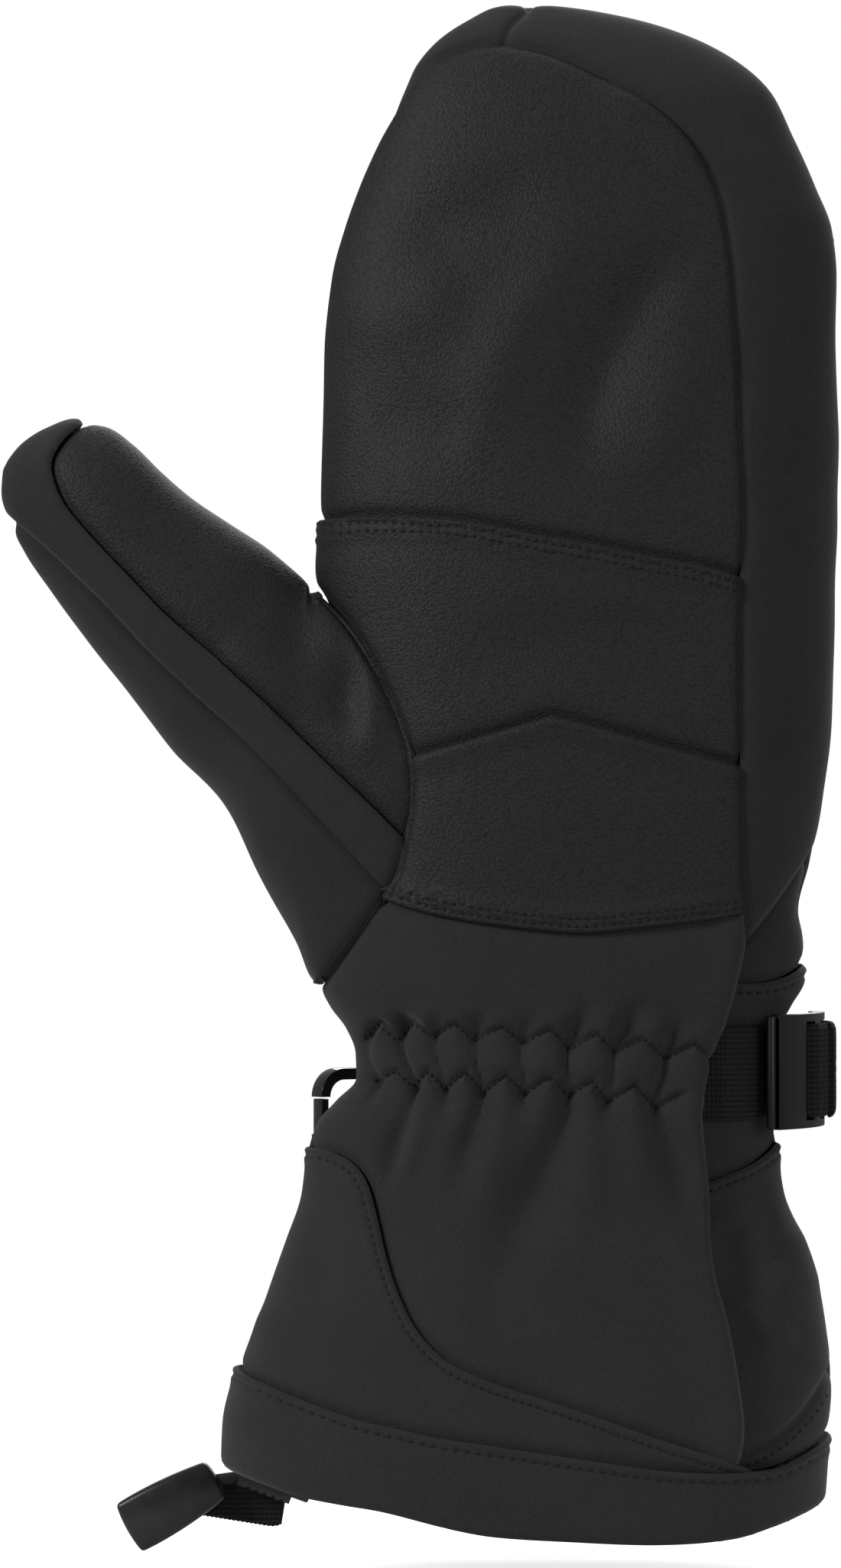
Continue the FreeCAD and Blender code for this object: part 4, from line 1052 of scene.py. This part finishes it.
sew_thumb("thumb_leather", thumb_leather_mesh, [(L["strip_top"], "under")], True, LEATHER,
          "thumb_leather", "thumb_root_shell")
sew_thumb("thumb_side_strip", thumb_strip_mesh, [(L["strip_top"], "over"), (L["strip_low"], "deep")], False,
          SOFTSHELL, "thumb_side_strip")
sew_thumb("thumb_back", thumb_back_mesh, [(L["strip_low"], "deep")], True, SOFTSHELL, "thumb_back")


# ======================================= layers inside ===========================================
INNER_AROUND, INNER_ALONG = 130, 140


def layer(name, inset, thickness, material, slot_name, replaced, low_line, keep=None, rise=0.0, mouth=0.42):
    """One inner layer of the hand, from the line at its lower edge to the closed tip."""
    mesh = hand_surface(INNER_AROUND, INNER_ALONG, inset, mouth=mouth)
    lifted = L[low_line] + np.array([0, rise])
    _, mesh = split(mesh, lifted)
    if keep is not None:
        mesh, _ = cut(*mesh, keep(mesh[0]))
    verts, tris = mesh
    obj = new_piece(name, verts, tris, thickness)
    settle(obj, material, "mitten", slot_name, *replaced)


layer("wadding_palm_layer", (5.0, 5.2, 5.2, 5.0), 2.0, WADDING, "insulation", ("insulation_palm",), "hem",
      lambda v: 0.6 - v[:, 1], 4)
layer("wadding_back_layer", (5.0, 5.2, 6.4, 5.0), 2.2, WADDING, "insulation", ("insulation_back",), "hem",
      lambda v: v[:, 1] - 1.2, 4)
layer("waterproof_insert", (7.6, 7.6, 9.0, 7.6), 0.3, MEMBRANE, "membrane", ("membrane_insert",),
      "hem", None, 6)
layer("fleece_lining", (8.4, 8.4, 9.8, 8.4), 1.4, FLEECE, "fleece", ("lining_hand",), "opening",
      None, 1.4, 0.32)
layer("wrist_elastic_band", (4.2, 4.2, 4.2, 4.0), 0.7, ELASTIC, "elastic", ("wrist_elastic",), "opening",
      lambda v: 5.0 - np.abs(v[:, 2] - SHIR_MIDDLE))
for piece_name, inset, thickness, material, slot_name, replaced in (
        ("thumb_wadding_layer", 4.0, 1.8, WADDING, "insulation", ("thumb_insulation", "thumb_root_fill")),
        ("thumb_waterproof_insert", 6.3, 0.3, MEMBRANE, "membrane", ("thumb_membrane", "thumb_root_membrane")),
        ("thumb_fleece_lining", 7.0, 1.0, FLEECE, "fleece", ("thumb_lining", "thumb_root_lining"))):
    verts, tris = thumb_surface(INNER_AROUND // 2, INNER_ALONG // 2, inset)
    made = new_piece(piece_name, verts, tris, thickness)
    dress(made, material)
    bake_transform(made)
    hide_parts(*replaced)

# ======================================= stitching ===============================================
THREAD_RADIUS, THREAD_SIDES = 0.33, 6
# share of the length, lift and fatness of a stitch at each ring of points
SHAPE_ALONG = ((-1.0, -0.4, 0.3), (-0.7, -0.1, 0.85), (0.0, 0.06, 1.0), (0.7, -0.1, 0.85), (1.0, -0.4, 0.3))


def surface_hit(tree, x, z, side):
    """Point and outward normal of a panel at x, z, from the palm side (-1) or the back (+1)."""
    hit, normal, _, _ = tree.ray_cast(Vector((x, 120 * side, z)), Vector((0, -side, 0)))
    if hit is None:
        return None
    normal = np.array(normal)
    if normal[1] * side < 0:
        normal = -normal
    return np.array(hit), normal


def stitch_run(name, rows, tree, side, pitch, length):
    """All the stitches of one seam as one piece. Each stitch is a short thread that dives at both ends."""
    verts, tris = [], []
    for row in rows:
        span = np.concatenate([[0], np.cumsum(np.linalg.norm(np.diff(row, axis=0), axis=1))])
        count = int(span[-1] // pitch)
        for index in range(count):
            middle = (index + 0.5) * pitch
            ends = [np.array([np.interp(middle + half * length / 2, span, row[:, k]) for k in (0, 1)])
                    for half in (-1, 1)]
            first, last = surface_hit(tree, *ends[0], side), surface_hit(tree, *ends[1], side)
            if first is None or last is None or np.linalg.norm(first[0] - last[0]) > 2 * length:
                continue
            along = last[0] - first[0]
            along /= np.linalg.norm(along)
            out = first[1] + last[1]
            out -= (out @ along) * along
            out /= np.linalg.norm(out)
            across = np.cross(along, out)
            centre = (first[0] + last[0]) / 2
            base = len(verts)
            for reach, lift, fat in SHAPE_ALONG:
                heart = centre + along * reach * length / 2 + out * (lift + 0.05)
                for corner in range(THREAD_SIDES):
                    angle = corner * 2 * math.pi / THREAD_SIDES
                    round_it = math.cos(angle) * across + math.sin(angle) * out
                    verts.append(heart + THREAD_RADIUS * fat * round_it)
            for ring in range(len(SHAPE_ALONG) - 1):
                for corner in range(THREAD_SIDES):
                    a = base + ring * THREAD_SIDES + corner
                    b = base + ring * THREAD_SIDES + (corner + 1) % THREAD_SIDES
                    tris += [(a, b, b + THREAD_SIDES), (a, b + THREAD_SIDES, a + THREAD_SIDES)]
            top = base + (len(SHAPE_ALONG) - 1) * THREAD_SIDES
            for corner in range(1, THREAD_SIDES - 1):
                tris += [(base, base + corner + 1, base + corner), (top, top + corner, top + corner + 1)]
    obj = new_piece(name, np.array(verts), np.array(tris), 0.0, 60)
    dress(obj, THREAD)
    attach(obj, "mitten")


# name, seam, distances of its rows from the seam, panel sewn through, palm side or back, pitch, length
TOPSTITCHES = (
    ("palm_upper_seam", "upper", (1.4, 3.0), "palm_middle", -1, 1.85, 1.3),
    ("palm_heel_seam", "heel", (-1.4, -3.0), "palm_heel", -1, 1.85, 1.3),
    ("cuff_curve", "cuff", (1.8,), "gauntlet_thumb_side", -1, 1.75, 1.2),
    ("hem_front", "hem", (1.8,), "hem_band", -1, 2.35, 1.5),
    ("hem_back", "hem", (1.8,), "hem_band", 1, 2.35, 1.5),
    ("wrist_gusset", "wrist_gusset", (1.8,), "little_finger_wrist", -1, 1.9, 1.25),
    ("little_finger_gauntlet", "pinky_wrist", (1.8,), "little_finger_gauntlet", -1, 1.8, 1.2),
    ("small_seam", "small", (1.8,), "little_finger_gauntlet", -1, 1.8, 1.2),
    ("back_tip", "back_tip", (-1.8,), "back_tip_leather", 1, 1.9, 1.3),
    ("back_wrist", "back_wrist", (1.8,), "gauntlet_back", 1, 1.9, 1.3))
for label, seam, offsets, under, side, pitch, length in TOPSTITCHES:
    stitch_run("stitches_" + label, [beside(L[seam], distance) for distance in offsets], panels[under], side,
               pitch, length)
for row_name, corners in (("upper", SHIR_UPPER), ("lower", SHIR_LOWER)):
    stitch_run("stitches_shirring_" + row_name, [walk(np.array(corners, float), 0.4)], panels["wrist_front"],
               -1, 1.4, 1.0)


# ======================================= tapes ===================================================
WEFT_PITCH, WARP_PITCH = 0.95, 1.1      # ribs across the tape and the dashes along each rib
WEAVE_LIFT = 0.24


def woven_tape(name, node_name, body, plan, low, high, thickness, material, fine=0.22, ruffle=0.1):
    """A woven tape that follows plan points (x, y) and stands from low to high, with its weave as relief."""
    path = walk(np.array(plan, float), fine)
    way = np.gradient(path, axis=0)
    way /= np.linalg.norm(way, axis=1)[:, None]
    normal = np.stack([way[:, 1], -way[:, 0]], axis=1)
    u = np.concatenate([[0], np.cumsum(np.linalg.norm(np.diff(path, axis=0), axis=1))])
    half = (high - low) / 2
    share = np.sin(np.linspace(-math.pi / 2, math.pi / 2, max(12, int((high - low) / fine))))
    share = np.sign(share) * np.abs(share) ** 0.75
    v = share * half
    plump = thickness / 2 * np.clip(1 - np.abs(share) ** 10, 0, 1) ** 0.5
    rib = u[:, None] / WEFT_PITCH
    number = np.round(rib)
    dash = 0.5 + 0.5 * np.cos(2 * math.pi * (v[None, :] / WARP_PITCH + 0.5 * (number % 2)))
    weave = (0.5 + 0.5 * np.cos(2 * math.pi * rib)) * (0.35 + 0.65 * dash)
    weave = weave * np.clip((1 - np.abs(share)) * 8, 0, 1)[None, :]
    edge = ruffle * np.cos(2 * math.pi * rib) * (np.abs(share) ** 12 * np.sign(share))[None, :]
    z = (low + high) / 2 + v[None, :] + edge
    sheets = []
    for face in (1, -1):
        lift = face * (plump[None, :] + WEAVE_LIFT * weave * (plump[None, :] > 0.2))
        xy = path[:, None, :] + normal[:, None, :] * lift[:, :, None]
        sheets.append(np.concatenate([xy, z[:, :, None]], axis=2))
    rows, columns = z.shape
    # the two faces share the points of both selvedges
    verts = np.concatenate([sheets[0].reshape(-1, 3), sheets[1][:, 1:-1].reshape(-1, 3)])

    def front_index(i, j):
        return i * columns + j

    def back_index(i, j):
        inner = rows * columns + i * (columns - 2) + (j - 1)
        return np.where((j == 0) | (j == columns - 1), i * columns + j, inner)

    i, j = np.meshgrid(np.arange(rows - 1), np.arange(columns - 1), indexing="ij")
    i, j = i.ravel(), j.ravel()
    tris = []
    for index_of, flip in ((front_index, False), (back_index, True)):
        a, b, c, d = index_of(i, j), index_of(i + 1, j), index_of(i + 1, j + 1), index_of(i, j + 1)
        pair = [np.stack([a, b, c], 1), np.stack([a, c, d], 1)]
        tris += [t[:, ::-1] for t in pair] if flip else pair
    j = np.arange(columns - 1)
    for i_end, flip in ((0, True), (rows - 1, False)):
        i = np.full(columns - 1, i_end)
        a, b, c, d = front_index(i, j), front_index(i, j + 1), back_index(i, j + 1), back_index(i, j)
        pair = [np.stack([a, d, c], 1), np.stack([a, c, b], 1)]
        tris += [t[:, ::-1] for t in pair] if flip else pair
    tris = np.concatenate(tris)
    tris = tris[(tris[:, 0] != tris[:, 1]) & (tris[:, 1] != tris[:, 2]) & (tris[:, 0] != tris[:, 2])]
    obj = new_piece(name, verts, tris, 0.0, 60)
    where_u = np.concatenate([np.repeat(u, columns), np.repeat(u, columns - 2)])
    where_v = np.concatenate([np.tile(v, rows), np.tile(v[1:-1], rows)])
    layer_uv = obj.data.uv_layers.new(name="millimetres")
    corner = np.empty(len(obj.data.loops), np.int32)
    obj.data.loops.foreach_get("vertex_index", corner)
    pairs = np.stack([where_u[corner], where_v[corner]], 1).ravel()
    layer_uv.data.foreach_set("uv", pairs.astype(np.float32))
    bpy.ops.object.select_all(action="DESELECT")
    obj.select_set(True)
    bpy.context.view_layer.objects.active = obj
    bpy.ops.object.mode_set(mode="EDIT")
    bpy.ops.mesh.select_all(action="SELECT")
    bpy.ops.mesh.normals_make_consistent(inside=False)
    bpy.ops.object.mode_set(mode="OBJECT")
    obj.select_set(False)
    settle(obj, material, body, "webbing", node_name)
    return obj


# ======================================= trims ===================================================
def refined(node_name, new_name, body, slot_name, material, bevel=0.35, segments=3, angle=38):
    """A copy of a plain solid with its edges rounded, which stands in for it."""
    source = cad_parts[node_name]
    mesh = source.data.copy()
    mesh.transform(source.matrix_world)
    obj = bpy.data.objects.new(new_name, mesh)
    bpy.context.scene.collection.objects.link(obj)
    bpy.ops.object.select_all(action="DESELECT")
    obj.select_set(True)
    bpy.context.view_layer.objects.active = obj
    bpy.ops.object.mode_set(mode="EDIT")
    bpy.ops.mesh.select_all(action="SELECT")
    bpy.ops.mesh.remove_doubles(threshold=0.00002)
    bpy.ops.mesh.dissolve_limited(angle_limit=math.radians(1.5))
    bpy.ops.object.mode_set(mode="OBJECT")
    if bevel:
        rounding = obj.modifiers.new("rounding", "BEVEL")
        rounding.width = bevel * MM
        rounding.segments = segments
        rounding.limit_method = "ANGLE"
        rounding.angle_limit = math.radians(angle)
        bpy.ops.object.modifier_apply(modifier="rounding")
    bpy.ops.object.shade_smooth_by_angle(angle=math.radians(40))
    obj.select_set(False)
    settle(obj, material, body, slot_name, node_name)


refined("ladder_lock_buckle", "buckle_moulding", "buckle", "buckle_plastic", BUCKLE, 0.45)
refined("clip_frame", "glove_clip_frame", "clip", "clip_plastic", CLIP, 0.55)
refined("clip_gate", "glove_clip_gate", "gate", "clip_plastic", CLIP, 0.2, 2)
refined("cord_lock_barrel", "cord_lock_housing", "mitten", "lock_plastic", LOCK, 0.14, 2, 50)
refined("cord_lock_button", "cord_lock_plunger", "button", "lock_plastic", LOCK, 0.4, 3, 50)
refined("hem_eyelet", "hem_eyelet_ring", "mitten", "eyelet_metal", STEEL, 0.4, 3, 50)
for node_name, material in dict(
        buckle_anchor_tape=WEBBING, clip_tape=WEBBING, cord_lock_spring=STEEL, drawcord=THREAD).items():
    dress(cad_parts[node_name], material)


def finish_by_hand(obj, bevel, segments, levels, material, body, slot_name, replaced=()):
    """Rounds, smooths and settles a piece made from a primitive."""
    bpy.ops.object.transform_apply(location=True, rotation=True, scale=True)
    rounding = obj.modifiers.new("rounding", "BEVEL")
    rounding.width = bevel * MM
    rounding.segments = segments
    rounding.limit_method = "ANGLE"
    if levels:
        smoothing = obj.modifiers.new("smoothing", "SUBSURF")
        smoothing.levels = smoothing.render_levels = levels
    for modifier in list(obj.modifiers):
        bpy.ops.object.modifier_apply(modifier=modifier.name)
    bpy.ops.object.shade_smooth_by_angle(angle=math.radians(60))
    obj.select_set(False)
    settle(obj, material, body, slot_name, *replaced)


# ---- grip on the end of the drawcord: a soft block, wider at its far end ------------------------
GRIP_NEAR, GRIP_FAR = (-66.6, 31.6, 3.0), (-85.2, 31.6, -7.4)
GRIP_WIDTHS, GRIP_THICK = (10.0, 13.0), 6.2
GRIP_SWELL = 1.15           # makes up for what the smoothing takes off
grip_way = Vector(GRIP_FAR) - Vector(GRIP_NEAR)
bpy.ops.object.select_all(action="DESELECT")
bpy.ops.mesh.primitive_cube_add(size=1)
grip = bpy.context.object
grip.name = "cord_pull_grip"
bpy.ops.object.mode_set(mode="EDIT")
bpy.ops.mesh.subdivide(number_cuts=3)
bpy.ops.object.mode_set(mode="OBJECT")
for vertex in grip.data.vertices:
    x, y, z = vertex.co
    width = GRIP_WIDTHS[0] + (GRIP_WIDTHS[1] - GRIP_WIDTHS[0]) * (0.5 - x)
    crown = (1 - (2 * x) ** 2 * 0.35) * (1 - (2 * z) ** 2 * 0.3)
    bow = 1 + 0.05 * (1 - (2 * z) ** 2)
    vertex.co = Vector((x * grip_way.length * bow, y * GRIP_THICK * crown * GRIP_SWELL,
                        z * width * (1 - (2 * x) ** 2 * 0.1))) * MM
grip.rotation_euler = (0, math.atan2(grip_way.z, -grip_way.x), 0)
grip.location = (Vector(GRIP_NEAR) + Vector(GRIP_FAR)) / 2 * MM
finish_by_hand(grip, 1.7, 3, 2, GRIP, "grip", "grip_rubber", ("cord_end_grip",))

# ---- rolled lip along the front edge of the buckle ----------------------------------------------
LIP_AT, LIP_RADIUS, LIP_LENGTH = (50.7, -17.3, 92.5), 0.95, 23.6
bpy.ops.mesh.primitive_cylinder_add(vertices=32, radius=LIP_RADIUS * MM, depth=LIP_LENGTH * MM,
                                    location=Vector(LIP_AT) * MM)
lip = bpy.context.object
lip.name = "buckle_front_lip"
finish_by_hand(lip, 0.4, 3, 0, BUCKLE, "buckle", "buckle_plastic")

# ---- strap through the buckle and its loose tail ------------------------------------------------
PLATE_FRONT, PLATE_REAR, PLATE_CROWN = np.array([51.5, -16.4]), np.array([62.0, 13.0]), 3.0
plate_chord = np.linalg.norm(PLATE_REAR - PLATE_FRONT)
plate_way = (PLATE_REAR - PLATE_FRONT) / plate_chord
plate_out = np.array([plate_way[1], -plate_way[0]])
plate_radius = plate_chord ** 2 / (8 * PLATE_CROWN) + PLATE_CROWN / 2
plate_centre = (PLATE_FRONT + PLATE_REAR) / 2 - plate_out * (plate_radius - PLATE_CROWN)


def on_plate(share, lift):
    ends = [math.atan2(*(point - plate_centre)[::-1]) for point in (PLATE_FRONT, PLATE_REAR)]
    angle = ends[0] + (ends[1] - ends[0]) * share
    return plate_centre + np.array([math.cos(angle), math.sin(angle)]) * (plate_radius + lift)


TAPE_LIFT = 2.1             # middle of the strap above the middle of the plate
threaded_plan = [on_plate(share, -TAPE_LIFT) for share in np.linspace(0.03, 0.37, 8)] + [on_plate(0.405, 0)]
threaded_plan += [on_plate(share, TAPE_LIFT) for share in np.linspace(0.44, 0.64, 6)]
woven_tape("threaded_strap_webbing", "strap_threaded", "buckle", smooth_line(threaded_plan, 0.4),
           82.7, 102.3, 1.4, TAIL_WEBBING)
tail_plan = [on_plate(share, TAPE_LIFT + 0.75) for share in np.linspace(0.67, 1.5, 24)]
woven_tape("strap_tail_webbing", "strap_tail", "tail", tail_plan, 82.4, 102.2, 1.5, TAIL_WEBBING)

# ---- folded tab behind the cord lock ------------------------------------------------------------
TAB_CENTRE, TAB_TURN = (-60.0, -3.5), math.radians(9)
TAB_ROUND_FROM, TAB_ROUND_RADIUS = 5.0, 4.4     # x from its centre where the end starts to round off
tab = woven_tape("cord_tab_webbing", "cord_tab", "mitten", [(-69, 36.1), (-52.0, 36.1)],
                 -6.6, 2.2, 1.2, TAIL_WEBBING)
for vertex in tab.data.vertices:
    x, z = vertex.co.x / MM - TAB_CENTRE[0], vertex.co.z / MM - TAB_CENTRE[1]
    end = max(0.0, (x - TAB_ROUND_FROM) / TAB_ROUND_RADIUS)
    z_round = z * math.sqrt(max(0.0, 1 - min(end, 1.0) ** 2)) if end > 0 else z
    vertex.co.x = (TAB_CENTRE[0] + x * math.cos(TAB_TURN) + z_round * math.sin(TAB_TURN)) * MM
    vertex.co.z = (TAB_CENTRE[1] - x * math.sin(TAB_TURN) + z_round * math.cos(TAB_TURN)) * MM

# ---- strap across the wrist: it comes out from under the front panel and rises to the buckle ---
STRAP_LOW, STRAP_HIGH = 82.6, 102.4
STRAP_MIDDLE = (STRAP_LOW + STRAP_HIGH) / 2
STRAP_RISE = ((35.5, -3.0), (38, -2.2), (41, -0.6), (45, 0.5), (49.6, 1.0))    # x, lift off the wrist
rise_x, rise_lift = zip(*STRAP_RISE)
strap_x = np.linspace(rise_x[0], rise_x[-1], 40)
strap_lift = np.interp(strap_x, rise_x, rise_lift)
strap_depth = hand_depth(strap_x, np.full(len(strap_x), STRAP_MIDDLE), -1)
strap_plan = np.stack([strap_x, strap_depth - strap_lift], axis=1)
woven_tape("wrist_strap_webbing", "wrist_webbing", "mitten", strap_plan, STRAP_LOW, STRAP_HIGH, 1.3, WEBBING)


# ======================================= studio ==================================================
def area_light(name, place, aim, size, watts):
    data = bpy.data.lights.new(name, "AREA")
    data.shape = "RECTANGLE"
    data.size, data.size_y = size
    data.energy = watts
    light = bpy.data.objects.new(name, data)
    light.location = place
    light.rotation_euler = (Vector(aim) - Vector(place)).to_track_quat("-Z", "Y").to_euler()
    bpy.context.scene.collection.objects.link(light)


CENTRE = (-0.02, 0, 0.14)            # metres, as is all of the studio
area_light("key_light", (-1.25, -0.75, 0.85), CENTRE, (0.5, 0.5), 13)
area_light("fill_light", (1.0, -1.1, 0.4), CENTRE, (0.8, 1.0), 4.5)
area_light("top_light", (0.1, 0.2, 1.2), CENTRE, (0.5, 0.5), 2)
area_light("back_light", (0.3, 1.2, 0.8), CENTRE, (1.0, 1.0), 10)

# a white room that the camera sees, and a much dimmer one that lights the mitten
world = bpy.data.worlds.new("studio_white")
world.use_nodes = True
sky = world.node_tree
seen = node(sky, "ShaderNodeLightPath").outputs["Is Camera Ray"]
strength = node(sky, "ShaderNodeMapRange", {"To Min": 0.212, "To Max": 1.0}, {"Value": seen})
sky.nodes["Background"].inputs["Color"].default_value = (1, 1, 1, 1)
sky.links.new(strength.outputs[0], sky.nodes["Background"].inputs["Strength"])
bpy.context.scene.world = world
bpy.context.scene.view_settings.view_transform = "Standard"

FLOOR_Z, FLOOR_RADIUS, FLOOR_THICK = -0.0135, 0.17, 0.004
bpy.ops.mesh.primitive_cylinder_add(vertices=96, radius=FLOOR_RADIUS, depth=FLOOR_THICK,
                                    location=(CENTRE[0], 0, FLOOR_Z - FLOOR_THICK / 2))
floor = bpy.context.object
floor.name = "studio_floor"
bpy.ops.object.transform_apply(location=True, rotation=True, scale=True)
floor_material, floor_tree, floor_shader = blank_material("matt_white_board")
floor_shader.inputs["Base Color"].default_value = linear("#f2f2f2")
floor_shader.inputs["Emission Color"].default_value = (1, 1, 1, 1)
seen = node(floor_tree, "ShaderNodeLightPath")
glow = node(floor_tree, "ShaderNodeMath", {"operation": "MULTIPLY", 1: 0.75},
            {0: seen.outputs["Is Camera Ray"]})
floor_tree.links.new(glow.outputs[0], floor_shader.inputs["Emission Strength"])
floor_shader.inputs["Roughness"].default_value = 0.9
dress(floor, floor_material)

camera_data = bpy.data.cameras.new("camera")
camera_data.lens = 174
camera_data.sensor_width = 36
camera_data.dof.use_dof = False
camera = bpy.data.objects.new("camera", camera_data)
camera.location = (-0.0225, -1.6, 0.1528)
camera.rotation_euler = (math.radians(90), 0, 0)
bpy.context.scene.collection.objects.link(camera)
bpy.context.scene.camera = camera
